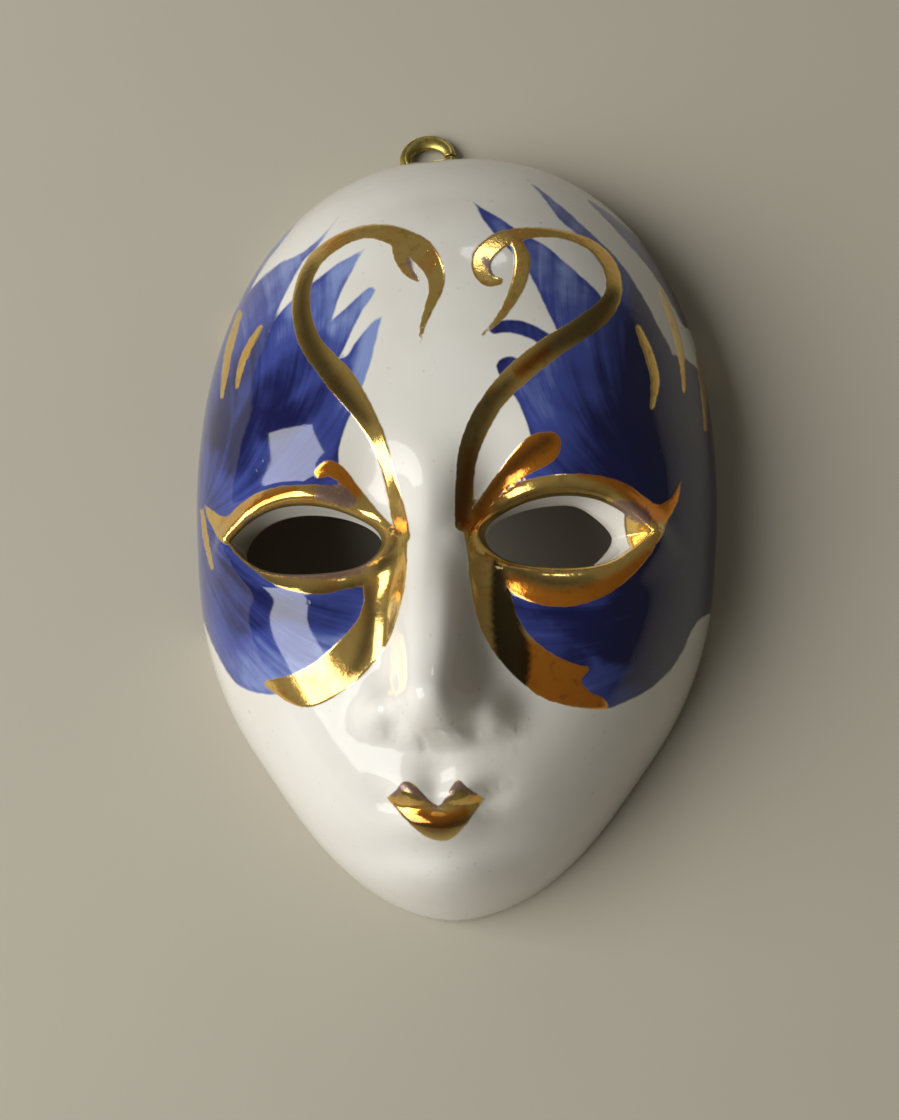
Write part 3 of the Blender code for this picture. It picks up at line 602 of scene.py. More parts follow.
@dataclass(frozen=True)
class Brushwork:
    """Everything painted on the face, in pixels of the picture, painted shade and dark reflections
    too.
    """

    wash: tuple[Mark, ...] = (
        Patch(((215, 335), (235, 318), (252, 324), (268, 334), (286, 322), (305, 330), (330, 323),
               (338, 360), (347, 366), (358, 392), (346, 425), (340, 445), (339, 465), (345, 487),
               (372, 505), (385, 530), (375, 600), (350, 640), (300, 685), (275, 694), (250, 691),
               (232, 679), (215, 650), (203, 620), (180, 560), (180, 440), (192, 380))),
        Patch(((337, 219), (337, 219), (318, 246), (303, 262), (290, 285), (280, 306), (268, 333),
               (252, 350), (232, 350), (226, 335), (235, 318), (240, 305), (250, 290), (265, 275),
               (282, 262), (300, 254), (320, 238))),
        Patch(((363, 250), (363, 250), (350, 275), (340, 295), (330, 323), (318, 345), (285, 350),
               (268, 333), (284, 308), (300, 293), (320, 277), (340, 262))),
        Patch(((374, 288), (374, 293), (360, 315), (350, 335), (338, 360), (322, 368), (318, 340),
               (330, 322), (340, 313), (355, 299), (368, 288))),
        Patch(((382, 315), (382, 315), (375, 345), (367, 375), (358, 394), (345, 405), (335, 385),
               (338, 360), (347, 356), (355, 343), (370, 325))),
        Stroke(((299, 217, 2), (278, 240, 9), (258, 265, 11), (243, 292, 12), (232, 315, 12))),
        Patch(((474, 203), (474, 203), (500, 218), (520, 232), (545, 245), (565, 262), (585, 280),
               (602, 298), (610, 330), (585, 350), (562, 338), (552, 320), (540, 295), (527, 270),
               (500, 240), (485, 222))),
        Patch(((530, 182), (530, 182), (560, 205), (590, 232), (620, 262), (645, 300), (660, 330),
               (672, 355), (668, 400), (640, 390), (617, 300), (600, 264), (580, 238), (560, 220),
               (545, 200))),
        Stroke(((588, 200, 2), (618, 226, 9), (648, 258, 12), (668, 285, 13), (690, 320, 18))),
        Stroke(((495, 328, 12), (508, 326, 13), (522, 328, 14), (538, 335, 14), (555, 347, 18),
                (575, 360, 30))),
        Patch(((496, 366), (503, 358), (514, 357), (530, 363), (560, 338), (600, 300), (620, 302),
               (640, 365), (660, 372), (672, 355), (700, 372), (730, 440), (735, 540), (725, 600),
               (697, 622), (681, 655), (665, 676), (645, 692), (620, 704), (606, 708), (580, 700),
               (520, 652), (498, 588), (488, 548), (515, 485), (531, 455), (529, 430), (518, 402),
               (505, 386))),
    )
    # Deeper blue: darker brush coats, with painted shade among them on the right.
    deep_coats_and_shade: tuple[Mark, ...] = (
        Stroke(((322, 338, 12), (296, 366, 26), (268, 398, 30), (246, 430, 26), (232, 465, 20))),
        Stroke(((345, 372, 10), (318, 398, 20), (290, 418, 24), (262, 430, 18))),
        Stroke(((276, 320, 8), (252, 350, 16), (232, 395, 18), (218, 440, 16))),
        Patch(((222, 560), (250, 582), (300, 600), (364, 588), (362, 606), (345, 630), (320, 632),
               (290, 622), (262, 628), (240, 634), (222, 610))),
        Stroke(((495, 328, 13), (510, 325, 15), (525, 328, 14), (548, 343, 12))),
        Stroke(((499, 366, 14), (512, 364, 18), (526, 370, 12))),
        # Painted shade: the right flank and the hollow under the right eye.
        Stroke(((640, 330, 12), (648, 380, 34), (652, 430, 50), (662, 500, 54))),
        Patch(((520, 590), (600, 612), (650, 570), (700, 545), (715, 600), (690, 640), (640, 660),
               (580, 650))),
        Stroke(((514, 590, 22), (538, 630, 30), (575, 660, 30))),
    )
    scrolls: tuple[Mark, ...] = (
        Stroke(((403, 536, 14), (398, 512, 15), (392, 488, 13), (387, 468, 12), (378, 440, 16),
                (366, 417, 20), (353, 397, 25), (340, 380, 28), (325, 362, 25), (311, 344, 22),
                (304, 325, 20), (301, 305, 18), (303, 288, 16), (309, 270, 15), (321, 254, 14),
                (341, 240, 13), (364, 232, 13), (384, 233, 17), (403, 240, 22), (422, 252, 25),
                (434, 270, 20), (436, 288, 14), (429, 308, 9), (422, 328, 5), (420, 344, 1))),
        Stroke(((398, 243, 14), (402, 258, 15), (409, 272, 10), (418, 280, 4))),
        Stroke(((463, 524, 16), (464, 500, 18), (465, 475, 18), (469, 450, 20), (481, 420, 22),
                (500, 392, 22), (521, 371, 24), (546, 351, 24), (575, 332, 22), (598, 316, 22),
                (611, 300, 18), (614, 284, 16), (609, 265, 14), (595, 248, 11), (575, 238, 9),
                (552, 233, 9), (530, 233, 11), (508, 237, 15), (492, 246, 19), (482, 258, 20),
                (482, 271, 18), (489, 280, 13), (499, 281, 7))),
        Stroke(((514, 240, 9), (522, 256, 15), (520, 278, 15), (511, 300, 11), (497, 321, 6),
                (478, 338, 1))),
        Stroke(((240, 313, 5), (232, 338, 7), (226, 365, 7), (222, 397, 3))),
        Stroke(((261, 327, 4), (250, 345, 7), (241, 366, 6), (237, 388, 3))),
        Stroke(((638, 328, 6), (648, 352, 9), (655, 380, 9), (652, 408, 4))),
        Stroke(((660, 290, 3), (672, 320, 6), (681, 355, 6), (684, 392, 3))),
        Stroke(((212, 347, 2), (208, 375, 4), (204, 402, 2))),
        Stroke(((697, 352, 3), (703, 390, 5), (706, 430, 3))),
        Stroke(((202, 510, 3), (206, 540, 5), (212, 568, 3))),
        Patch(((387, 798), (387, 798), (396, 790), (405, 781), (416, 786), (428, 799), (439, 805),
               (447, 795), (457, 780), (467, 787), (484, 799), (484, 799), (475, 812), (463, 828),
               (452, 838), (441, 841), (429, 838), (415, 829), (402, 815))),
    )
    lids: tuple[Mark, ...] = (
        Patch(((205, 505), (205, 505), (225, 517), (241, 504), (260, 492), (285, 486), (320, 485),
               (347, 487), (360, 491), (376, 509), (392, 530), (386, 550), (372, 534), (352, 520),
               (330, 512), (300, 510), (272, 515), (250, 527), (233, 543), (221, 541), (208, 518))),
        Patch(((226, 536), (234, 552), (250, 567), (275, 585), (300, 593), (322, 594), (345, 589),
               (366, 583), (386, 560), (386, 540), (372, 540), (360, 549), (345, 555), (320, 559),
               (290, 560), (262, 554), (243, 544), (234, 535))),
        Patch(((403, 518), (407, 560), (402, 600), (390, 638), (372, 665), (350, 686), (322, 703),
               (305, 707), (290, 703), (267, 687), (267, 681), (290, 675), (315, 662), (338, 642),
               (352, 628), (360, 615), (364, 600), (364, 582), (376, 560), (388, 540))),
        Stroke(((319, 473, 10), (330, 468, 15), (341, 475, 14), (352, 487, 10), (364, 500, 8))),
        Patch(((476, 534), (484, 514), (500, 497), (520, 483), (545, 476), (575, 474), (600, 476),
               (626, 484), (645, 497), (657, 505), (671, 498), (681, 480), (681, 480), (678, 500),
               (668, 520), (655, 537), (645, 552), (640, 538), (628, 526), (610, 515), (590, 507),
               (560, 503), (530, 507), (510, 514), (497, 524), (487, 538))),
        Patch(((484, 534), (485, 552), (494, 570), (508, 590), (538, 604), (570, 606), (600, 598),
               (626, 581), (646, 560), (656, 542), (652, 520), (634, 530), (612, 548), (590, 556),
               (560, 559), (536, 558), (512, 553), (494, 540))),
        Patch(((546, 432), (557, 434), (561, 446), (553, 461), (531, 473), (510, 486), (492, 503),
               (478, 527), (466, 530), (472, 510), (486, 489), (500, 470), (514, 451), (530, 436))),
        Patch(((462, 520), (467, 550), (470, 580), (478, 620), (490, 646), (505, 666), (520, 681),
               (541, 697), (565, 705), (590, 709), (608, 708), (604, 699), (590, 692), (581, 681),
               (590, 668), (578, 665), (560, 658), (541, 646), (525, 630), (515, 610), (509, 588),
               (498, 565), (486, 540), (474, 524))),
    )
    amber: tuple[Mark, ...] = (
        Stroke(((248, 509, 5), (270, 497, 9), (294, 490, 7))),
        Stroke(((319, 473, 14), (330, 468, 18), (341, 475, 18), (356, 492, 12))),
        Stroke(((580, 474, 6), (600, 476, 12), (622, 484, 18), (642, 497, 24), (662, 510, 22),
                (680, 484, 8))),
        Stroke(((512, 582, 16), (540, 597, 22), (570, 600, 24), (600, 592, 22), (626, 577, 18),
                (648, 556, 12))),
        Patch(((546, 430), (560, 434), (564, 446), (555, 463), (531, 476), (500, 500), (478, 530),
               (466, 530), (486, 489), (514, 451), (530, 434))),
        Patch(((524, 640), (560, 656), (592, 664), (604, 700), (608, 709), (565, 706), (541, 698),
               (524, 680))),
        Stroke(((462, 520, 14), (466, 480, 10), (470, 450, 8))),
        Stroke(((520, 372, 12), (545, 352, 10))),
        Stroke(((415, 810, 8), (440, 822, 16), (465, 812, 8))),
    )
    worn: tuple[Mark, ...] = (
        Patch(((318, 487), (335, 485), (350, 490), (359, 503), (350, 509), (330, 504), (315, 500))),
        Patch(((243, 522), (260, 512), (280, 508), (280, 517), (262, 524), (248, 533))),
        Patch(((234, 541), (243, 551), (262, 561), (300, 567), (340, 562), (366, 550), (380, 548),
               (366, 571), (340, 579), (300, 580), (258, 571))),
        Patch(((608, 503), (630, 500), (650, 512), (650, 526), (632, 521))),
        Stroke(((394, 795, 6), (405, 786, 9), (420, 795, 7), (436, 808, 5), (450, 795, 7),
                (459, 785, 9), (474, 795, 5))),
        Stroke(((408, 262, 10), (416, 276, 8))),
        Stroke(((486, 262, 12), (492, 272, 10))),
    )
    # Painted dark reflection in the gold beside the nose's shaded right side.
    shade_and_reflection: tuple[Mark, ...] = (
        Patch(((493, 560), (508, 580), (522, 625), (531, 655), (524, 690), (500, 670), (491, 620))),
    )
    # Painted shade and dark reflections on the gold: along the scrolls, under the lids and lips,
    # and in the eyes' corners.
    shade: tuple[Mark, ...] = (
        Stroke(((548, 440, 10), (520, 460, 12), (494, 488, 9), (478, 512, 8))),
        Stroke(((368, 590, 6), (370, 620, 8), (362, 655, 8), (350, 676, 4))),
        Stroke(((512, 380, 8), (487, 405, 22), (470, 435, 30), (462, 470, 34), (455, 515, 30))),
        Stroke(((612, 296, 14), (590, 322, 26), (560, 342, 20), (540, 356, 12), (520, 372, 8))),
        Stroke(((498, 509, 5), (530, 495, 6), (570, 490, 6), (605, 496, 6))),
        Stroke(((508, 566, 6), (530, 577, 10), (560, 583, 9), (590, 580, 4))),
        Stroke(((410, 820, 10), (440, 829, 16), (466, 820, 10))),
        Stroke(((402, 792, 6), (410, 789, 10), (419, 796, 6))),
        Stroke(((449, 796, 6), (457, 787, 10), (465, 792, 6))),
        Stroke(((366, 420, 6), (344, 396, 18), (318, 360, 20), (304, 325, 16), (303, 290, 10),
                (312, 266, 4))),
        Stroke(((396, 534, 6), (390, 554, 14), (380, 568, 8))),
        Stroke(((232, 554, 2), (262, 579, 5), (300, 593, 7), (345, 589, 7), (362, 583, 3))),
    )
    gilt_corner: Patch = Patch(
        ((628, 500), (650, 508), (666, 522), (655, 545), (634, 552), (625, 530)))
    wash_ends: Span = (0.05, 0.3)
    gold_ends: Span = (0.3, 0.6)
    rim_film: Span = (0.0, 0.2)
    amber_edge: Span = (-4.0, 3.0)
    worn_edge: Span = (-6.0, 5.0)
    # Easings and share of the painted shade and dark reflections on the gold.
    shade_and_reflection_edge: Span = (-2.5, 2.5)
    shade_edge: Span = (-10.0, 8.0)
    shade_share: float = 0.85
    middle_x: float = 440.0
    fans: tuple[tuple[float, float, float], ...] = ((196, 520, 1.0), (742, 540, -1.0))
    swirl: float = 0.0022
    hair_pitch: float = 9.0
    hair_length: float = 70.0
    fan_apart: float = 3.0
    left_heart: tuple[float, float] = (225.0, 470.0)
    right_heart: tuple[float, float] = (700.0, 500.0)
    heart_squash: float = 0.8
    heart_blue: float = 0.62
    thinning: tuple[float, Span] = (0.5, (60.0, 290.0))
    pale_ends: tuple[float, Span, Span] = (-0.26, (318.0, 378.0), (420.0, 380.0))
    # Painted shade: the right eye's blue grows deeper towards the right edge, which turns away from
    # the light.
    right_shade_blue: tuple[float, float, Span] = (0.18, 0.55, (560.0, 690.0))
    low_pale: tuple[float, Span] = (0.1, (628.0, 668.0))
    # Easing of the deeper coats and painted shade, and how much they deepen the blue on each side.
    deep_and_shade_edge: Span = (-9.0, 6.0)
    deep_blue_and_shade: tuple[float, float] = (0.34, 0.24)

    def brush_lines(self, pixels: np.ndarray) -> np.ndarray:
        """Give coordinates that run along and across the brush's hairs.

        Args:
            pixels: Where the points fall in the picture.

        Returns:
            Across, along and which fan, one point a row.
        """
        right = pixels[:, 0] > self.middle_x
        result = np.zeros((len(pixels), 3))
        for chosen, (x, y, bend) in zip((~right, right), self.fans):
            off = pixels[chosen] - (x, y)
            reach = np.hypot(off[:, 0], off[:, 1])
            turn = np.arctan2(off[:, 0] * bend, -off[:, 1]) + self.swirl * reach
            fan = np.full(len(off), bend * self.fan_apart)
            lines = [turn * self.hair_pitch, reach / self.hair_length, fan]
            result[chosen] = np.stack(lines, axis=1)
        return result

    def strength(self, pixels: np.ndarray) -> np.ndarray:
        """Give how strong the blue is, before its brush lines, painted shade on the right included.

        Args:
            pixels: Where the points fall in the picture.

        Returns:
            Strengths from 0, a pale tint, to 1, the deepest blue.
        """
        x, y = pixels.T
        right = x > self.middle_x
        below = y - self.left_heart[1]
        left_reach = np.hypot(x - self.left_heart[0], np.maximum(self.heart_squash * below, -below))
        right_reach = np.hypot(x - self.right_heart[0], y - self.right_heart[1])
        reach = np.where(right, right_reach, left_reach)
        blue = self.heart_blue - self.thinning[0] * smooth(reach, *self.thinning[1])
        share, across, up = self.pale_ends
        ends = share * smooth(x, *across) * smooth(y, *up)
        # Painted shade: the right side's blue deepens towards its edge.
        base, gain, span = self.right_shade_blue
        blue = blue + np.where(right, base + gain * smooth(x, *span), ends)
        share, span = self.low_pale
        low = smooth(y, *span) * np.where(right, 0.0, share)
        # Deeper coats, with painted shade among them on the right.
        laid = smooth(deepest(self.deep_coats_and_shade, pixels), *self.deep_and_shade_edge)
        return np.clip(blue - low + laid * np.where(right, *self.deep_blue_and_shade), 0.0, 1.0)


@dataclass(frozen=True)
class Grain:
    """Uneven pattern: how fine it is, how many finer ones are in it and how strong those are."""

    scale: float
    detail: float = 2.0
    rough: float = 0.5
    stretch: tuple[float, float, float] = (1.0, 1.0, 1.0)
    twist: float = 0.0


@dataclass(frozen=True)
class Dots:
    """Scattered dots: how close and how large, where they gather, and how strongly they show."""

    scale: float
    size: float
    where: Grain
    gather: tuple[float, float]
    share: float


@dataclass(frozen=True)
class Relief:
    """Raised pattern: its grain, its height in metres and how much of it shows."""

    grain: Grain
    depth: float
    strength: float


class Desk:
    """Work place for the nodes of one procedural material."""

    def __init__(self, name: str) -> None:
        """Start a material with its shader.

        Args:
            name: The material's name.
        """
        self.material = bpy.data.materials.new(name)
        self.material.use_nodes = True
        self.tree = self.material.node_tree
        self.shader = self.tree.nodes["Principled BSDF"]
        self.place = self.add("ShaderNodeTexCoord").outputs["Object"]

    def add(self, kind: str, **settings: object) -> bpy.types.Node:
        """Add a node.

        Args:
            kind: Its type.
            settings: Properties to set on it.

        Returns:
            The node.
        """
        node = self.tree.nodes.new(kind)
        for name, value in settings.items():
            setattr(node, name, value)
        return node

    def feed(self, socket: Socket, value: object) -> None:
        """Set a socket, or link another one to it.

        Args:
            socket: The socket that takes the value.
            value: A number, a colour or a socket.
        """
        if isinstance(value, bpy.types.NodeSocket):
            self.tree.links.new(value, socket)
        elif isinstance(value, tuple) and len(value) == 3 and socket.type == "RGBA":
            socket.default_value = (*value, 1.0)
        else:
            socket.default_value = value

    def made(self, kind: str, values: dict, output: object, **settings: object) -> Socket:
        """Add a node and feed its sockets.

        Args:
            kind: The node's type.
            values: What goes into each input.
            output: Which output is wanted.
            settings: Properties to set on the node.

        Returns:
            That output.
        """
        node = self.add(kind, **settings)
        for name, value in values.items():
            self.feed(node.inputs[name], value)
        return node.outputs[output]

    def kept(self, name: str, output: str = "Fac") -> Socket:
        """Read an attribute kept with the mesh."""
        return self.add("ShaderNodeAttribute", attribute_name=name).outputs[output]

    def sums(self, operation: str, first: object, second: object, clamp: bool = False) -> Socket:
        """Do a sum with two numbers."""
        values = {0: first, 1: second}
        return self.made("ShaderNodeMath", values, 0, operation=operation, use_clamp=clamp)

    def plus(self, first: object, second: object) -> Socket:
        """Add two numbers."""
        return self.sums("ADD", first, second)

    def times(self, first: object, second: object) -> Socket:
        """Multiply two numbers."""
        return self.sums("MULTIPLY", first, second)

    def sway(self, pattern: object, amount: float) -> Socket:
        """Centre a pattern on 0 and scale it."""
        return self.times(self.sums("SUBTRACT", pattern, 0.5), amount)

    def step(self, value: object, low: float, high: float, start: float = 0.0,
             end: float = 1.0) -> Socket:
        """Ease a number from a start, where the value is low, to an end, where it is high."""
        values = {"Value": value, "From Min": low, "From Max": high, "To Min": start, "To Max": end}
        return self.made("ShaderNodeMapRange", values, "Result", interpolation_type="SMOOTHSTEP")

    def noise(self, grain: Grain, place: object = None) -> Socket:
        """Give an uneven pattern.

        Args:
            grain: The pattern.
            place: Coordinates, where not the object's own.

        Returns:
            A number about 0.5.
        """
        source = self.place if place is None else place
        if grain.stretch != Grain.stretch:
            values = {"Vector": source, "Scale": grain.stretch}
            source = self.made("ShaderNodeMapping", values, "Vector")
        values = {"Vector": source, "Scale": grain.scale, "Detail": grain.detail,
                  "Roughness": grain.rough, "Distortion": grain.twist}
        return self.made("ShaderNodeTexNoise", values, "Fac")

    def dots(self, dots: Dots) -> Socket:
        """Give scattered dots.

        Args:
            dots: Their sizes.

        Returns:
            1 in a dot and 0 between them.
        """
        values = {"Vector": self.place, "Scale": dots.scale}
        away = self.made("ShaderNodeTexVoronoi", values, "Distance")
        spots = self.step(away, dots.size, dots.size * DOT_CORE)
        return self.times(spots, self.step(self.noise(dots.where), *dots.gather))

    def mix(self, share: object, first: object, second: object) -> Socket:
        """Mix two colours, with a share of the second."""
        return self.made("ShaderNodeMix", {0: share, 6: first, 7: second}, 2, data_type="RGBA")

    def between(self, share: object, first: object, second: object) -> Socket:
        """Mix two numbers, with a share of the second."""
        return self.made("ShaderNodeMix", {0: share, 2: first, 3: second}, 0, data_type="FLOAT")

    def bump(self, height: object, depth: float, strength: float, under: object = None) -> Socket:
        """Raise a relief on the surface.

        Args:
            height: The relief.
            depth: Metres from its lowest to its highest.
            strength: How much of it shows.
            under: A relief that it lies on.

        Returns:
            The normal.
        """
        values = {"Strength": strength, "Distance": depth, "Height": height}
        if under is not None:
            values["Normal"] = under
        return self.made("ShaderNodeBump", values, "Normal")

    def finish(self, **sockets: object) -> bpy.types.Material:
        """Set the shader's sockets.

        Args:
            sockets: Values by socket name, with _ for a space.

        Returns:
            The material.
        """
        for name, value in sockets.items():
            self.feed(self.shader.inputs[name.replace("_", " ")], value)
        return self.material


@dataclass(frozen=True)
class PaintedGlaze:
    """Clear glaze over white clay, with cobalt under it and gold lustre on it, and painted shade
    and dark reflections in both.
    """

    white: Colour = (0.84, 0.815, 0.74)
    cream: Colour = (0.78, 0.75, 0.66)
    clay: Colour = (0.72, 0.67, 0.58)
    grime: Colour = (0.42, 0.36, 0.28)
    pale_blue: Colour = (0.25, 0.32, 0.60)
    mid_blue: Colour = (0.050, 0.072, 0.30)
    # Near-black blue: the deepest coats, and the painted shade on the right flank.
    deep_blue_and_shade: Colour = (0.006, 0.008, 0.065)
    gold: Colour = (0.88, 0.60, 0.17)
    amber: Colour = (0.90, 0.31, 0.030)
    # Near-black brown: random burnt patches in the gold, and its painted shade and dark
    # reflections.
    umber_and_shade: Colour = (0.028, 0.020, 0.009)
    plum: Colour = (0.20, 0.12, 0.12)
    glaze_gloss: float = 0.06
    gold_gloss: float = 0.14
    worn_gloss: float = 0.34
    bare_gloss: float = 0.86
    wash_wobble: tuple[Grain, float] = (Grain(900, 3, 0.6), 2.6)
    wash_cover: Span = (-1.2, 1.4)
    brush_tracks: tuple[Grain, float] = (Grain(1.0, 3, 0.55, (1.0, 0.45, 1.0), 0.3), 0.75)
    brush_hairs: tuple[Grain, float] = (Grain(4.0, 4, 0.6, (1.0, 0.12, 1.0), 0.1), 0.34)
    wash_clouds: tuple[Grain, float] = (Grain(260, 3, 0.55), 0.55)
    wash_pool: Ramp = (7.0, 0.5, 0.0, 0.10)
    pale_to_mid: Span = (0.05, 0.48)
    mid_to_deep: Span = (0.42, 0.95)
    gold_wobble: tuple[Grain, float] = (Grain(1500, 2, 0.5), 2.2)
    gold_cover: Span = (-0.9, 0.9)
    fleck: Grain = Grain(5200, 3, 0.65)
    patchy: Grain = Grain(1400, 3, 0.6)
    burnt: Grain = Grain(330, 4, 0.6)
    thin_share: tuple[float, float] = (0.75, 0.5)
    thin_edge: Ramp = (3.0, 0.0, 0.0, 0.12)
    rubbed_off: Span = (-0.12, 0.16)
    burnt_amber: Ramp = (0.46, 0.72, 0.0, 0.5)
    burnt_umber: Ramp = (0.52, 0.75, 0.0, 0.3)
    # How far the painted shade and dark reflections darken the gold.
    shade_and_reflection_share: float = 0.94
    plum_share: float = 0.9
    fleck_gloss: float = 0.16
    cast: Grain = Grain(120, 3, 0.5)
    cast_cream: Span = (0.35, 0.75)
    pinholes: Dots = Dots(1300, 0.20, Grain(330), (0.50, 0.62), 0.16)
    specks: Dots = Dots(520, 0.09, Grain(180), (0.52, 0.6), 0.35)
    dust: Grain = Grain(420, 5, 0.65)
    dust_from: Span = (0.42, 0.75)
    dust_share: float = 0.55
    film_metal: tuple[float, float] = (0.8, 0.4)
    glaze_cloud: tuple[Grain, float] = (Grain(240, 3), 0.05)
    mirror: tuple[float, float] = (0.3, 0.6)
    bend: float = 1.5
    coat: tuple[float, float] = (0.1, 0.04)
    orange_peel: Relief = Relief(Grain(420), 0.00006, 0.35)
    hole_depth: tuple[float, float] = (0.00002, 0.3)
    gold_ridge: Span = (-1.5, 2.5)
    ridge_depth: tuple[float, float] = (0.00005, 0.6)
    brushed: Relief = Relief(Grain(2400, 4, 0.6), 0.00003, 0.45)
    biscuit: Relief = Relief(Grain(3200, 4, 0.65), 0.00008, 0.7)

    def blue(self, desk: Desk) -> tuple[Socket, Socket]:
        """Lay the cobalt, painted shade on the right included.

        Args:
            desk: Where the nodes are made.

        Returns:
            Where it lies and its colour.
        """
        grain, amount = self.wash_wobble
        edge = desk.plus(desk.kept("wash"), desk.sway(desk.noise(grain), amount))
        lines = desk.kept("brush", "Vector")
        # The strength carries the painted shade of the right flank.
        strength = desk.plus(desk.kept("strength"), desk.step(edge, *self.wash_pool))
        for (grain, amount), place in ((self.brush_tracks, lines), (self.brush_hairs, lines),
                                       (self.wash_clouds, None)):
            strength = desk.plus(strength, desk.sway(desk.noise(grain, place), amount))
        strength = desk.sums("ADD", strength, 0.0, clamp=True)
        first = desk.mix(desk.step(strength, *self.pale_to_mid), self.pale_blue, self.mid_blue)
        colour = desk.mix(desk.step(strength, *self.mid_to_deep), first, self.deep_blue_and_shade)
        return desk.step(edge, *self.wash_cover), colour

    def lustre(self, desk: Desk) -> tuple[Socket, Socket, Socket, Socket]:
        """Lay the gold, with its painted shade and dark reflections.

        Args:
            desk: Where the nodes are made.

        Returns:
            Where it lies, its colour, how worn it is and how rough.
        """
        grain, amount = self.gold_wobble
        edge = desk.plus(desk.kept("gold"), desk.sway(desk.noise(grain), amount))
        fleck, patchy = desk.noise(self.fleck), desk.noise(self.patchy)
        thin = desk.plus(desk.times(desk.kept("worn"), self.thin_share[0]),
                         desk.step(edge, *self.thin_edge))
        thin = desk.plus(thin, desk.sway(patchy, self.thin_share[1]))
        lost = desk.step(desk.sums("SUBTRACT", thin, fleck), *self.rubbed_off)
        tone = desk.mix(desk.kept("amber"), self.gold, self.amber)
        tone = desk.mix(desk.step(desk.noise(self.burnt), *self.burnt_amber), tone, self.amber)
        tone = desk.mix(desk.step(patchy, *self.burnt_umber), tone, self.umber_and_shade)
        # Painted shade and dark reflections darken the gold here.
        tone = desk.mix(desk.times(desk.kept("shade_and_reflection"), self.shade_and_reflection_share), tone, self.umber_and_shade)
        colour = desk.mix(desk.times(lost, self.plum_share), tone, self.plum)
        rough = desk.between(lost, self.gold_gloss, self.worn_gloss)
        rough = desk.plus(rough, desk.sway(fleck, self.fleck_gloss))
        return desk.step(edge, *self.gold_cover), colour, lost, rough

    def relief(self, desk: Desk, pits: Socket, gilded: Socket, bare: Socket) -> Socket:
        """Give the surface its small unevenness.

        Args:
            desk: Where the nodes are made.
            pits: Where the glaze has pinholes.
            gilded: Where the gold lies.
            bare: Where the clay is unglazed.

        Returns:
            The normal.
        """
        peel = self.orange_peel
        normal = desk.bump(desk.noise(peel.grain), peel.depth, peel.strength)
        normal = desk.bump(desk.sums("SUBTRACT", 1.0, pits), *self.hole_depth, normal)
        ridge = desk.step(desk.kept("gold"), *self.gold_ridge)
        normal = desk.bump(ridge, *self.ridge_depth, normal)
        for part, where in ((self.brushed, gilded), (self.biscuit, bare)):
            height = desk.times(desk.noise(part.grain), where)
            normal = desk.bump(height, part.depth, part.strength, normal)
        return normal

    def build(self) -> bpy.types.Material:
        """Make the material.

        Returns:
            The material.
        """
        desk = Desk("painted_glaze")
        bare = desk.kept("bare")
        washed, blue = self.blue(desk)
        gilded, gold, lost, gold_rough = self.lustre(desk)
        cast = desk.step(desk.noise(self.cast), *self.cast_cream)
        ground = desk.mix(cast, self.white, self.cream)
        pits, spots = desk.dots(self.pinholes), desk.dots(self.specks)
        ground = desk.mix(desk.times(pits, self.pinholes.share), ground, self.grime)
        ground = desk.mix(desk.times(spots, self.specks.share), ground, self.grime)
        glazed = desk.mix(gilded, desk.mix(washed, ground, blue), gold)
        dust = desk.times(desk.step(desk.noise(self.dust), *self.dust_from), self.dust_share)
        colour = desk.mix(bare, glazed, desk.mix(dust, self.clay, self.grime))
        film = desk.times(gilded, desk.between(lost, *self.film_metal))
        metal = desk.times(film, desk.sums("SUBTRACT", 1.0, bare))
        grain, amount = self.glaze_cloud
        glaze_rough = desk.plus(self.glaze_gloss, desk.times(desk.noise(grain), amount))
        rough = desk.between(bare, desk.between(gilded, glaze_rough, gold_rough), self.bare_gloss)
        painted = desk.sums("MAXIMUM", washed, gilded)
        normal = self.relief(desk, pits, gilded, bare)
        return desk.finish(Base_Color=colour, Metallic=metal, Roughness=rough, Normal=normal,
                           Specular_IOR_Level=desk.between(painted, *self.mirror), IOR=self.bend,
                           Coat_Weight=self.coat[0], Coat_Roughness=self.coat[1])


@dataclass(frozen=True)
class AgedBrass:
    """Drawn brass, dulled and browned in random patches, with fine drawing marks."""

    bright: Colour = (0.72, 0.57, 0.16)
    dull: Colour = (0.34, 0.28, 0.08)
    brown: Colour = (0.09, 0.065, 0.025)
    gloss: float = 0.24
    tarnish: Grain = Grain(900, 4, 0.6)
    tarnish_from: Span = (0.38, 0.66)
    tarnish_gloss: float = 0.28
    spots: Relief = Relief(Grain(2600, 3, 0.6), 0.00003, 0.5)
    spots_from: Ramp = (0.56, 0.74, 0.0, 0.8)
    marks: Relief = Relief(Grain(1500, 3, 0.6), 0.00002, 0.5)

    def build(self, name: str, drawn: tuple[float, float, float]) -> bpy.types.Material:
        """Make the material.

        Args:
            name: Its name.
            drawn: Scale of the drawing marks along each axis.

        Returns:
            The material.
        """
        desk = Desk(name)
        tarnish, spots = desk.noise(self.tarnish), desk.noise(self.spots.grain)
        colour = desk.mix(desk.step(tarnish, *self.tarnish_from), self.bright, self.dull)
        colour = desk.mix(desk.step(spots, *self.spots_from), colour, self.brown)
        rough = desk.plus(self.gloss, desk.times(tarnish, self.tarnish_gloss))
        grain = replace(self.marks.grain, stretch=drawn)
        lines = desk.bump(desk.noise(grain), self.marks.depth, self.marks.strength)
        pitted = desk.bump(spots, self.spots.depth, self.spots.strength, lines)
        return desk.finish(Base_Color=colour, Metallic=1.0, Roughness=rough, Normal=pitted)


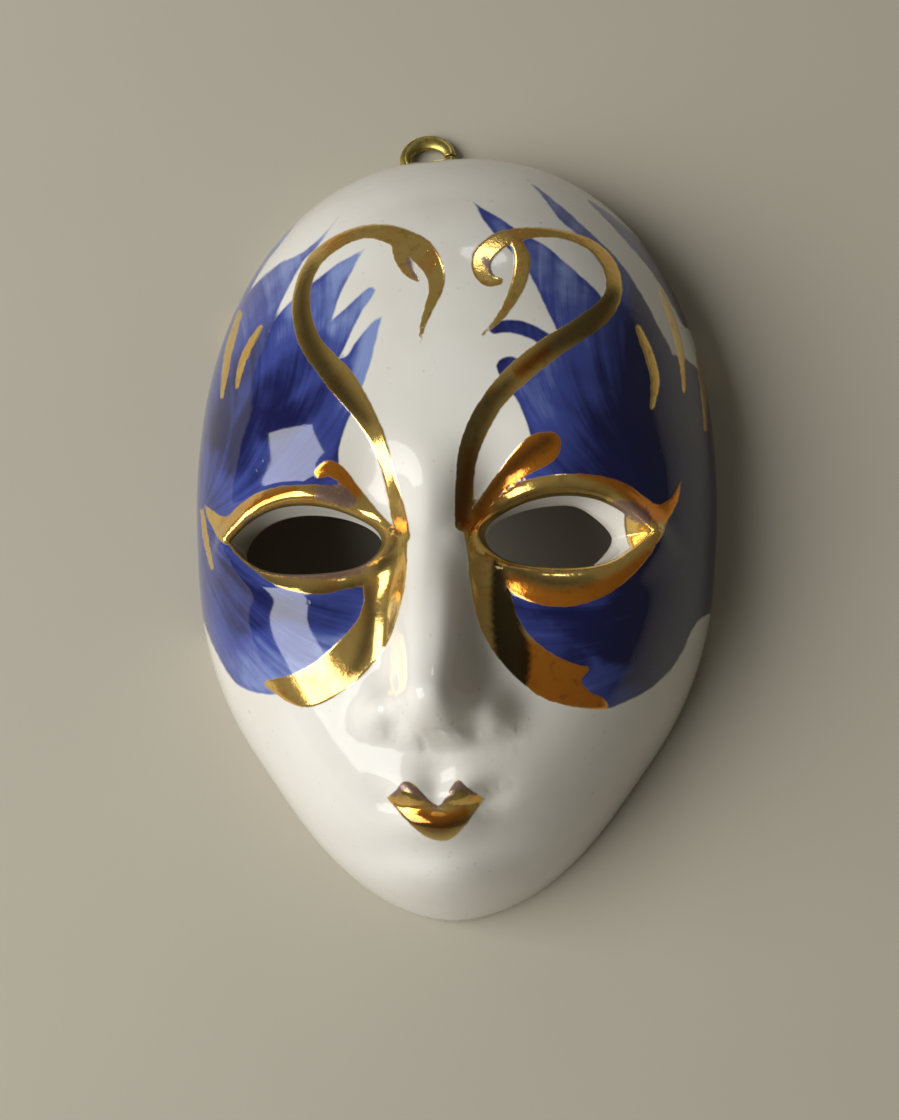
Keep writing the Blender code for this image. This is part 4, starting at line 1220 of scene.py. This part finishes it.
@dataclass(frozen=True)
class SetCement:
    """Grey-white cement, put on with a spatula and left to set."""

    pale: Colour = (0.60, 0.57, 0.49)
    grey: Colour = (0.40, 0.37, 0.31)
    sand: Colour = (0.28, 0.23, 0.16)
    dull: float = 0.9
    cloud: Grain = Grain(420, 4, 0.6)
    cloud_from: Span = (0.35, 0.7)
    grit: Relief = Relief(Grain(5200, 3, 0.6), 0.00005, 0.8)
    grit_from: Ramp = (0.58, 0.72, 0.0, 0.7)
    lumps: Relief = Relief(Grain(1400, 4, 0.6), 0.00012, 0.8)

    def build(self) -> bpy.types.Material:
        """Make the material.

        Returns:
            The material.
        """
        desk = Desk("set_cement")
        grit = desk.noise(self.grit.grain)
        colour = desk.mix(desk.step(desk.noise(self.cloud), *self.cloud_from), self.pale, self.grey)
        colour = desk.mix(desk.step(grit, *self.grit_from), colour, self.sand)
        lumps = desk.bump(desk.noise(self.lumps.grain), self.lumps.depth, self.lumps.strength)
        grain = desk.bump(grit, self.grit.depth, self.grit.strength, lumps)
        return desk.finish(Base_Color=colour, Roughness=self.dull, Normal=grain)


def strip(high: np.ndarray, low: np.ndarray) -> np.ndarray:
    """Join two rows of points round a loop.

    Args:
        high: Numbers of one row's points.
        low: Numbers of the next row's points.

    Returns:
        Triangles between them.
    """
    after_high, after_low = np.roll(high, -1), np.roll(low, -1)
    halves = [[high, low, after_low], [high, after_low, after_high]]
    return np.concatenate([np.stack(half, axis=1) for half in halves])


@dataclass
class MaskShell:
    """The cast face with its hollow, its foot, its eye openings and everything painted on it."""

    form: FaceForm
    view: PictureView
    paint: Brushwork
    front_step: float = 0.28
    back_step: float = 0.7
    rim_steps: int = 460
    notch_steps: int = 61
    eye_steps: int = 150
    edge_round: float = 0.3
    edge_turns: tuple[float, ...] = (22.0, 45.0, 67.0, 90.0)
    foot_shares: tuple[float, ...] = (0.25, 0.5, 0.75)
    eye_round: float = 0.32
    eye_rows: tuple[float, ...] = (0.05, 0.11, 0.18, 0.25, 0.32, 0.42, 0.58, 0.78)
    nose_rows: tuple[float, ...] = (-0.5, -0.25, 0.0, 0.25, 0.5)
    nose_past: float = 1.6
    lip_rows: tuple[float, ...] = (-0.6, -0.4, -0.2, 0.0, 0.2, 0.4, 0.6)
    lip_past: float = 0.8
    row_step: float = 0.8
    row_clear: float = 0.6
    loop_clear: float = 0.5
    wall_rows: int = 9
    bare_rows: float = 2.0
    bare_wall: Span = (0.72, 0.95)
    soften_rounds: int = 3

    def lattice(self, step: float, inset: float, rim: np.ndarray, back: bool) -> np.ndarray:
        """Set points as in a honeycomb inside the rim and outside the eye openings.

        Args:
            step: Their spacing on the stretched plan.
            inset: How far inside the outline the skin stands.
            rim: The skin's edge on the plan.
            back: Whether it is the hollow's skin.

        Returns:
            Points of the plan.
        """
        form = self.form
        tall, wide = (form.plan_stretch * size / 2 + step for size in (form.length, form.width))
        columns = np.arange(-wide, wide, step)
        grid = [np.stack([columns + 0.5 * step * (number % 2), np.full(len(columns), row)], axis=1)
                for number, row in enumerate(np.arange(-tall, tall, step * math.sqrt(0.75)))]
        flat = np.concatenate(grid)
        edge = form.spread(rim, inset)
        turn = np.arctan2(edge[:, 1], edge[:, 0])
        order = np.argsort(turn)
        reach = np.interp(np.arctan2(flat[:, 1], flat[:, 0]), turn[order],
                          np.hypot(edge[:, 0], edge[:, 1])[order], period=2 * math.pi)
        flat = flat[np.hypot(flat[:, 0], flat[:, 1]) < reach - self.loop_clear * step]
        plan = form.gather(flat, inset)
        clear = np.full(len(plan), True)
        for side in Side:
            loop = form.eye_loop(side, self.eye_steps, back, self.eye_rows[-1])
            near = in_box(plan, loop, 1.0)
            clear[near] &= loop_distance(plan[near], loop) > self.loop_clear * step
        for line, half, offsets in self.crease_rows(back):
            across = plan[:, 0] - form.face_x - form.nose_x
            off = plan[:, 1] - line(across)
            past = self.row_clear * step
            beside = np.abs(across) < half + past
            clear &= ~(beside & (off > offsets[0] - past) & (off < offsets[-1] + past))
        return plan[clear]

    def crease_rows(self, back: bool) -> list[tuple]:
        """List the lines of the face that points follow: the nose's base and the lips.

        Args:
            back: Whether it is the hollow's skin.

        Returns:
            For each, the line, its half length and the offsets of its rows.
        """
        form = self.form
        nose = (form.nose_base, form.wing_x + self.nose_past, self.nose_rows)
        lips = (form.lips_line, form.mouth_half + self.lip_past, self.lip_rows)
        return [nose] if back else [nose, lips]

    def skin(self, back: bool) -> tuple:
        """Make one skin.

        Args:
            back: Whether it is the hollow's.

        Returns:
            Its points, its triangles, the foot's height under its edge, and how many points each
            loop has.
        """
        form = self.form
        inset = form.wall if back else 0.0
        step = self.back_step if back else self.front_step
        height = form.dome_height - inset
        rim, foot = form.rim(self.rim_steps, self.notch_steps, height, inset, self.edge_round)
        loops = [rim, *(form.eye_loop(side, self.eye_steps, back) for side in Side)]
        rings = [form.eye_loop(side, self.eye_steps, back, grow)
                 for side in Side for grow in self.eye_rows]
        for line, half, offsets in self.crease_rows(back):
            x = np.arange(-half, half, self.row_step * step)
            middle = form.face_x + form.nose_x
            rings += [np.stack([middle + x, line(x) + offset], axis=1) for offset in offsets]
        plan = np.concatenate([*loops, *rings, self.lattice(step, inset, rim, back)])
        edges, first = [], 0
        for loop in loops:
            numbers = np.arange(first, first + len(loop))
            edges += list(zip(numbers.tolist(), np.roll(numbers, -1).tolist()))
            first += len(loop)
        flat = form.spread(plan, inset)
        result = delaunay_2d_cdt([Vector(point) for point in flat.tolist()], edges, [], 0, 1e-7)
        order = np.array([origin[0] for origin in result[3]])
        triangles = self.without_openings(plan, order[np.array(result[2])], loops)
        z = (form.hollow if back else form.front)(plan[:, 0], plan[:, 1])
        z[:len(rim)] = foot + self.edge_round
        if not back:
            z = self.soften(z, triangles, first)
        z = self.round_eyes(plan, z, back)
        return np.column_stack([plan, z]), triangles, foot, [len(loop) for loop in loops]

    def without_openings(self, plan: np.ndarray, triangles: np.ndarray,
                         loops: list[np.ndarray]) -> np.ndarray:
        """Leave out the triangles that span an eye opening or lie outside the rim.

        Args:
            plan: Points of the plan.
            triangles: Their triangles.
            loops: The rim and the eye openings, in the order of the points.

        Returns:
            The triangles that are kept.
        """
        keep = np.full(len(triangles), True)
        first = 0
        for number, loop in enumerate(loops):
            last = first + len(loop)
            spans = np.nonzero(((triangles >= first) & (triangles < last)).all(1))[0]
            if len(spans):
                away = loop_distance(plan[triangles[spans]].mean(axis=1), loop)
                keep[spans] = away < 0 if number == 0 else away > 0
            first = last
        return triangles[keep]

    def soften(self, z: np.ndarray, triangles: np.ndarray, fixed: int) -> np.ndarray:
        """Ease the creases, as the glaze does that runs into them.

        Args:
            z: Heights of the points.
            triangles: Their triangles.
            fixed: How many points at the start keep their height.

        Returns:
            The eased heights.
        """
        one, other = triangles.T.ravel(), np.roll(triangles, -1, axis=1).T.ravel()
        size = len(z)
        count = np.bincount(one, minlength=size) + np.bincount(other, minlength=size)
        for _ in range(self.soften_rounds):
            total = np.bincount(one, z[other], size) + np.bincount(other, z[one], size)
            eased = 0.5 * z + 0.5 * total / np.maximum(count, 1)
            eased[:fixed] = z[:fixed]
            z = eased
        return z

    def round_eyes(self, plan: np.ndarray, z: np.ndarray, back: bool) -> np.ndarray:
        """Round the skin off into the eye openings.

        Args:
            plan: Points of the plan.
            z: Their heights.
            back: Whether it is the hollow's skin.

        Returns:
            The changed heights.
        """
        z = z.copy()
        for side in Side:
            loop = self.form.eye_loop(side, self.eye_steps, back)
            near = in_box(plan, loop, 0.5)
            away = np.clip(loop_distance(plan[near], loop), 0.0, self.eye_round)
            drop = self.eye_round - np.sqrt(self.eye_round ** 2 - (self.eye_round - away) ** 2)
            z[near] += drop if back else -drop
        return z

    def foot_rows(self, outer: np.ndarray, inner: np.ndarray, foot_out: np.ndarray,
                  foot_in: np.ndarray) -> list[np.ndarray]:
        """Make the rows of points over the foot, rounded at both edges.

        Args:
            outer: Edge of the front skin.
            inner: Edge of the hollow's skin.
            foot_out: The foot's height under the one.
            foot_in: The foot's height under the other.

        Returns:
            Rows from the outer edge to the inner one, without those.
        """
        across = inner[:, :2] - outer[:, :2]
        ahead = across / np.linalg.norm(across, axis=1)[:, None]
        rounded = []
        for edge, foot, sense in ((outer, foot_out, 1), (inner, foot_in, -1)):
            for turn in np.radians(self.edge_turns):
                shift = self.edge_round * (1 - math.cos(turn)) * sense
                drop = self.edge_round * (1 - math.sin(turn))
                rounded.append(np.column_stack([edge[:, :2] + ahead * shift, foot + drop]))
        early, late = rounded[:len(self.edge_turns)], rounded[:len(self.edge_turns) - 1:-1]
        flat = [early[-1] * (1 - share) + late[0] * share for share in self.foot_shares]
        return early + flat + late

    def paint_on(self, points: np.ndarray, depth: np.ndarray,
                 bare: np.ndarray) -> dict[str, np.ndarray]:
        """Work out what is painted at each point.

        Args:
            points: Points on the mask's plan, with heights.
            depth: Millimetres down the wall of an eye opening.
            bare: 1 where the clay is unglazed.

        Returns:
            Numbers to keep with the mesh, by name.
        """
        paint, shown = self.paint, bare < 0.5
        spots, depth = self.view.pixels(points)[shown], depth[shown]
        corner = paint.gilt_corner.depth(spots)
        gold = np.maximum(deepest(paint.scrolls, spots), deepest(paint.lids, spots))
        gold = gold - GONE * smooth(depth, *paint.gold_ends)
        worn = smooth(deepest(paint.worn, spots), *paint.worn_edge)
        # Painted shade and dark reflections on the gold, kept as one attribute.
        shaded = paint.shade_share * smooth(deepest(paint.shade, spots), *paint.shade_edge)
        found = {
            "wash": deepest(paint.wash, spots) - GONE * smooth(depth, *paint.wash_ends),
            "gold": np.maximum(gold, corner),
            "strength": paint.strength(spots),
            "amber": smooth(deepest(paint.amber, spots), *paint.amber_edge),
            "worn": np.maximum(worn, smooth(depth, *paint.rim_film) * (corner < 0)),
            "shade_and_reflection": np.maximum(smooth(deepest(paint.shade_and_reflection, spots), *paint.shade_and_reflection_edge), shaded),
            "brush": paint.brush_lines(spots),
        }
        kept = {}
        for name, values in found.items():
            nothing = -FAR if name in ("wash", "gold") else 0.0
            kept[name] = np.full((len(points), *values.shape[1:]), nothing)
            kept[name][shown] = values
        kept["bare"] = bare
        return kept

    def build(self) -> bpy.types.Object:
        """Make the shell's mesh, keep the paint with it and dress it.

        Returns:
            The finished piece.
        """
        front, front_faces, foot_out, sizes = self.skin(back=False)
        back, back_faces, foot_in, _ = self.skin(back=True)
        points, faces = [front, back], [front_faces, back_faces[:, ::-1] + len(front)]
        depth = [np.zeros(len(front) + len(back))]
        bare = [np.zeros(len(front)), np.ones(len(back))]
        shares = np.arange(1, self.wall_rows) / self.wall_rows
        start, total = 0, len(front) + len(back)
        for number, size in enumerate(sizes):
            edge = np.arange(start, start + size)
            top, bottom = front[edge], back[edge]
            if number == 0:
                rows = self.foot_rows(top, bottom, foot_out, foot_in)
                bareness = smooth(np.arange(len(rows)) / self.bare_rows)
                depths = np.zeros(len(rows))
            else:
                rows = [top * (1 - share) + bottom * share for share in shares]
                bareness, depths = smooth(shares, *self.bare_wall), shares * self.form.wall
            bare.append(np.repeat(bareness, size))
            depth.append(np.repeat(depths, size))
            points += rows
            between = np.arange(total, total + size * len(rows)).reshape(-1, size)
            chain = [edge, *between, edge + len(front)]
            faces += [strip(high, low) for high, low in zip(chain[:-1], chain[1:])]
            start, total = start + size, total + size * len(rows)
        every = np.concatenate(points)
        kept = self.paint_on(every, np.concatenate(depth), np.concatenate(bare))
        piece = self.make_piece("glazed_face", every, np.concatenate(faces), kept)
        piece.data.materials.append(PaintedGlaze().build())
        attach(piece, "mask")
        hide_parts("mask_shell")
        return piece

    def make_piece(self, name: str, points: np.ndarray, triangles: np.ndarray,
                   kept: dict[str, np.ndarray]) -> bpy.types.Object:
        """Make a mesh object in the frame, with attributes.

        Args:
            name: The piece's name.
            points: Points in millimetres on the mask's plan.
            triangles: Their triangles.
            kept: Numbers to keep with it, by name.

        Returns:
            The piece.
        """
        mesh = bpy.data.meshes.new(name)
        placed = (points + (0.0, self.form.shift_y, 0.0)) * MM
        mesh.from_pydata(placed.tolist(), [], triangles.tolist())
        work = bmesh.new()
        work.from_mesh(mesh)
        bmesh.ops.recalc_face_normals(work, faces=work.faces)
        work.to_mesh(mesh)
        work.free()
        mesh.shade_smooth()
        for label, values in kept.items():
            vector = values.ndim == 2
            layer = mesh.attributes.new(label, "FLOAT_VECTOR" if vector else "FLOAT", "POINT")
            numbers = values.astype(np.float32).ravel()
            layer.data.foreach_set("vector" if vector else "value", numbers)
        piece = bpy.data.objects.new(name, mesh)
        bpy.context.scene.collection.objects.link(piece)
        return piece


def only(piece: bpy.types.Object) -> None:
    """Select one object alone and make it active.

    Args:
        piece: The object.
    """
    bpy.ops.object.select_all(action="DESELECT")
    piece.select_set(True)
    bpy.context.view_layer.objects.active = piece


def merged_copy(node: str, name: str) -> bpy.types.Object:
    """Copy a CAD node as a piece whose loose triangles are joined.

    Args:
        node: The CAD node.
        name: The new piece's name.

    Returns:
        The copy.
    """
    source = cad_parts[node]
    piece = bpy.data.objects.new(name, source.data.copy())
    piece.data.materials.clear()
    bpy.context.scene.collection.objects.link(piece)
    only(piece)
    bpy.ops.object.mode_set(mode="EDIT")
    bpy.ops.mesh.select_all(action="SELECT")
    bpy.ops.mesh.remove_doubles(threshold=JOINED)
    bpy.ops.mesh.dissolve_limited(angle_limit=math.radians(1.0))
    bpy.ops.object.mode_set(mode="OBJECT")
    if piece.data.has_custom_normals:
        bpy.ops.mesh.customdata_custom_splitnormals_clear()
    return piece


def ease_edges(piece: bpy.types.Object, width: float, segments: int, angle: float) -> None:
    """Bevel the sharp edges of a piece.

    Args:
        piece: The piece.
        width: The bevel's width in millimetres.
        segments: Its steps.
        angle: Degrees from which an edge is sharp.
    """
    only(piece)
    bevel = piece.modifiers.new("eased_edges", "BEVEL")
    bevel.width, bevel.segments = width * MM, segments
    bevel.limit_method, bevel.angle_limit = "ANGLE", math.radians(angle)
    bpy.ops.object.modifier_apply(modifier=bevel.name)


@dataclass
class Hanger:
    """The ring, the strap folded round it and the cement that holds the strap."""

    ring_radius: float = 1.95
    wire: float = 0.88
    ring_steps: tuple[int, int] = (128, 28)
    split: float = 0.12
    split_reach: float = 0.2
    split_inside: float = 0.98
    split_bevel: float = 0.05
    slope: float = 10.041
    pivot: tuple[float, float, float] = (-2.3, 27.957, 1.15)
    flat: float = 0.45
    flat_spread: float = 0.7
    ring_smooth: float = 35.0
    strap_bevel: float = 0.05
    strap_smooth: float = 30.0
    strap_gloss: float = 0.3
    cement_voxel: float = 0.16
    cement_lumps: float = 0.12
    lump_size: float = 1.1
    lump_level: float = 0.85

    def pick_split(self, ring: bpy.types.Object, half: float) -> None:
        """Select the faces at the split, and enter edit mode.

        Args:
            ring: The ring, lying about the origin.
            half: How far to either side of the split they may lie, in radians.
        """
        bpy.ops.object.mode_set(mode="OBJECT")
        for face in ring.data.polygons:
            x, y = face.center.x, face.center.y
            face.select = x > 0 and abs(math.atan2(y, x)) < half
        bpy.ops.object.mode_set(mode="EDIT")

    def cut_ring(self, ring: bpy.types.Object) -> None:
        """Cut the split through the wire, close its two ends and ease their edges.

        Args:
            ring: The ring, lying about the origin.
        """
        wedge = self.split / self.ring_radius / 2
        bpy.ops.object.mode_set(mode="EDIT")
        for side in (1, -1):
            bpy.ops.mesh.select_all(action="DESELECT")
            self.pick_split(ring, self.split_reach)
            normal = (math.sin(wedge), -side * math.cos(wedge), 0.0)
            bpy.ops.mesh.bisect(plane_co=(0, 0, 0), plane_no=normal)
        self.pick_split(ring, wedge * self.split_inside)
        bpy.ops.mesh.select_mode(type="FACE")
        bpy.ops.mesh.delete(type="FACE")
        bpy.ops.mesh.select_mode(type="EDGE")
        bpy.ops.mesh.select_all(action="DESELECT")
        bpy.ops.mesh.select_non_manifold()
        bpy.ops.mesh.fill_holes(sides=0)
        bpy.ops.mesh.select_all(action="SELECT")
        bpy.ops.mesh.normals_make_consistent(inside=False)
        bpy.ops.object.mode_set(mode="OBJECT")
        ease_edges(ring, self.split_bevel, 3, 50.0)

    def draw_in(self, ring: bpy.types.Object) -> None:
        """Draw the far inner side of the ring in, as the photographed one is nearly closed.

        Args:
            ring: The ring, lying about the origin.
        """
        for vertex in ring.data.vertices:
            reach = max(math.hypot(vertex.co.x, vertex.co.y), TINY)
            inner = max((self.ring_radius * MM - reach) / (self.wire / 2 * MM), 0.0)
            far = max(vertex.co.y / reach, 0.0) ** self.flat_spread
            drawn = 1 - self.flat * MM * inner * far / reach
            vertex.co.x *= drawn
            vertex.co.y *= drawn

    def build_ring(self) -> bpy.types.Object:
        """Turn up the jump ring, cut it and hang it in the strap's fold.

        Returns:
            The ring.
        """
        bpy.ops.object.select_all(action="DESELECT")
        bpy.ops.mesh.primitive_torus_add(
            major_segments=self.ring_steps[0], minor_segments=self.ring_steps[1],
            major_radius=self.ring_radius * MM, minor_radius=self.wire / 2 * MM)
        ring = bpy.context.active_object
        ring.name = ring.data.name = "jump_ring"
        self.cut_ring(ring)
        self.draw_in(ring)
        place = Matrix.Translation(Vector(self.pivot) * MM)
        tilt = Matrix.Rotation(math.radians(-self.slope), 4, "X")
        ring.data.transform(place @ tilt @ Matrix.Translation((0, self.ring_radius * MM, 0)))
        bpy.ops.object.shade_smooth_by_angle(angle=math.radians(self.ring_smooth))
        ring.data.materials.append(AgedBrass().build("ring_brass", (0.2, 0.2, 1.0)))
        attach(ring, "ring")
        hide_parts("hanger_ring")
        return ring

    def build_strap(self) -> bpy.types.Object:
        """Ease the edges of the folded strap.

        Returns:
            The strap.
        """
        strap = merged_copy("hanger_strap", "folded_strap")
        ease_edges(strap, self.strap_bevel, 2, 60.0)
        bpy.ops.object.shade_smooth_by_angle(angle=math.radians(self.strap_smooth))
        finish = AgedBrass(gloss=self.strap_gloss)
        strap.data.materials.append(finish.build("strap_brass", (1.0, 0.15, 0.3)))
        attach(strap, "mask")
        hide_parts("hanger_strap")
        return strap

    def build_cement(self) -> bpy.types.Object:
        """Roughen the bed of cement.

        Returns:
            The cement.
        """
        cement = merged_copy("hanger_cement", "cement_bed")
        only(cement)
        remesh = cement.modifiers.new("even", "REMESH")
        remesh.mode, remesh.voxel_size = "VOXEL", self.cement_voxel * MM
        bpy.ops.object.modifier_apply(modifier=remesh.name)
        pattern = bpy.data.textures.new("cement_lumps", "CLOUDS")
        pattern.noise_scale, pattern.noise_depth = self.lump_size * MM, 2
        lumps = cement.modifiers.new("lumps", "DISPLACE")
        lumps.texture, lumps.texture_coords = pattern, "LOCAL"
        lumps.mid_level, lumps.strength = self.lump_level, self.cement_lumps * MM
        bpy.ops.object.modifier_apply(modifier=lumps.name)
        bpy.ops.object.shade_smooth()
        cement.data.materials.append(SetCement().build())
        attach(cement, "mask")
        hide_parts("hanger_cement")
        return cement


@dataclass(frozen=True)
class SoftLamp:
    """Even light from a flat panel, aimed at the mask."""

    name: str
    turn: float
    rise: float
    distance: float
    size: tuple[float, float]
    level: float
    colour: Colour = (1.0, 1.0, 1.0)
    shape: str = "RECTANGLE"

    def build(self) -> None:
        """Hang the lamp."""
        data = bpy.data.lights.new(self.name, "AREA")
        data.shape, data.color = self.shape, self.colour
        data.size, data.size_y = self.size
        data.energy = self.level * math.pi * self.size[0] * self.size[1]
        lamp = bpy.data.objects.new(self.name, data)
        bpy.context.scene.collection.objects.link(lamp)
        turn, rise = math.radians(self.turn), math.radians(self.rise)
        flat = math.cos(rise)
        away = Vector((flat * math.cos(turn), flat * math.sin(turn), math.sin(rise)))
        lamp.location = away * self.distance
        lamp.rotation_euler = away.to_track_quat("Z", "Y").to_euler()


@dataclass
class Studio:
    """Pale floor, soft lamps and a plain world."""

    floor_half: float = 1.2
    floor_drop: float = 0.00001
    floor_colour: Colour = (0.50, 0.46, 0.365)
    floor_shade: float = 0.96
    floor_dull: float = 0.95
    world_colour: Colour = (0.095, 0.089, 0.077)
    lamps: tuple[SoftLamp, ...] = (
        SoftLamp("window", 194.0, 43.0, 0.42, (0.42, 0.29), 5.35, (0.985, 0.99, 1.0)),
        SoftLamp("behind", 82.0, 28.0, 0.4, (0.09, 0.05), 4.0, shape="ELLIPSE"),
    )

    def build(self) -> None:
        """Lay the floor, hang the lamps and set the world."""
        bpy.ops.object.select_all(action="DESELECT")
        place = (0, 0, -self.floor_drop)
        bpy.ops.mesh.primitive_plane_add(size=2 * self.floor_half, location=place)
        floor = bpy.context.active_object
        floor.name = "floor"
        desk = Desk("floor_paper")
        darker = tuple(self.floor_shade * part for part in self.floor_colour)
        colour = desk.mix(desk.noise(Grain(60, 3, 0.5)), self.floor_colour, darker)
        floor.data.materials.append(desk.finish(Base_Color=colour, Roughness=self.floor_dull))
        for lamp in self.lamps:
            lamp.build()
        world = bpy.data.worlds.new("studio")
        world.use_nodes = True
        background = world.node_tree.nodes["Background"]
        background.inputs["Color"].default_value = (*self.world_colour, 1.0)
        bpy.context.scene.world = world
        bpy.context.scene.view_settings.view_transform = "Standard"


def main() -> None:
    """Build every piece in order and report it."""
    form, view = FaceForm(), PictureView()
    view.build(form.shift_y)
    hanger = Hanger()
    shell = MaskShell(form, view, Brushwork())
    for build in (shell.build, hanger.build_ring, hanger.build_strap, hanger.build_cement):
        piece = build()
        log.info("%s: %d faces", piece.name, len(piece.data.polygons))
    Studio().build()


if __name__ == "__main__":
    logging.basicConfig(level=logging.INFO, format="%(message)s")
    main()
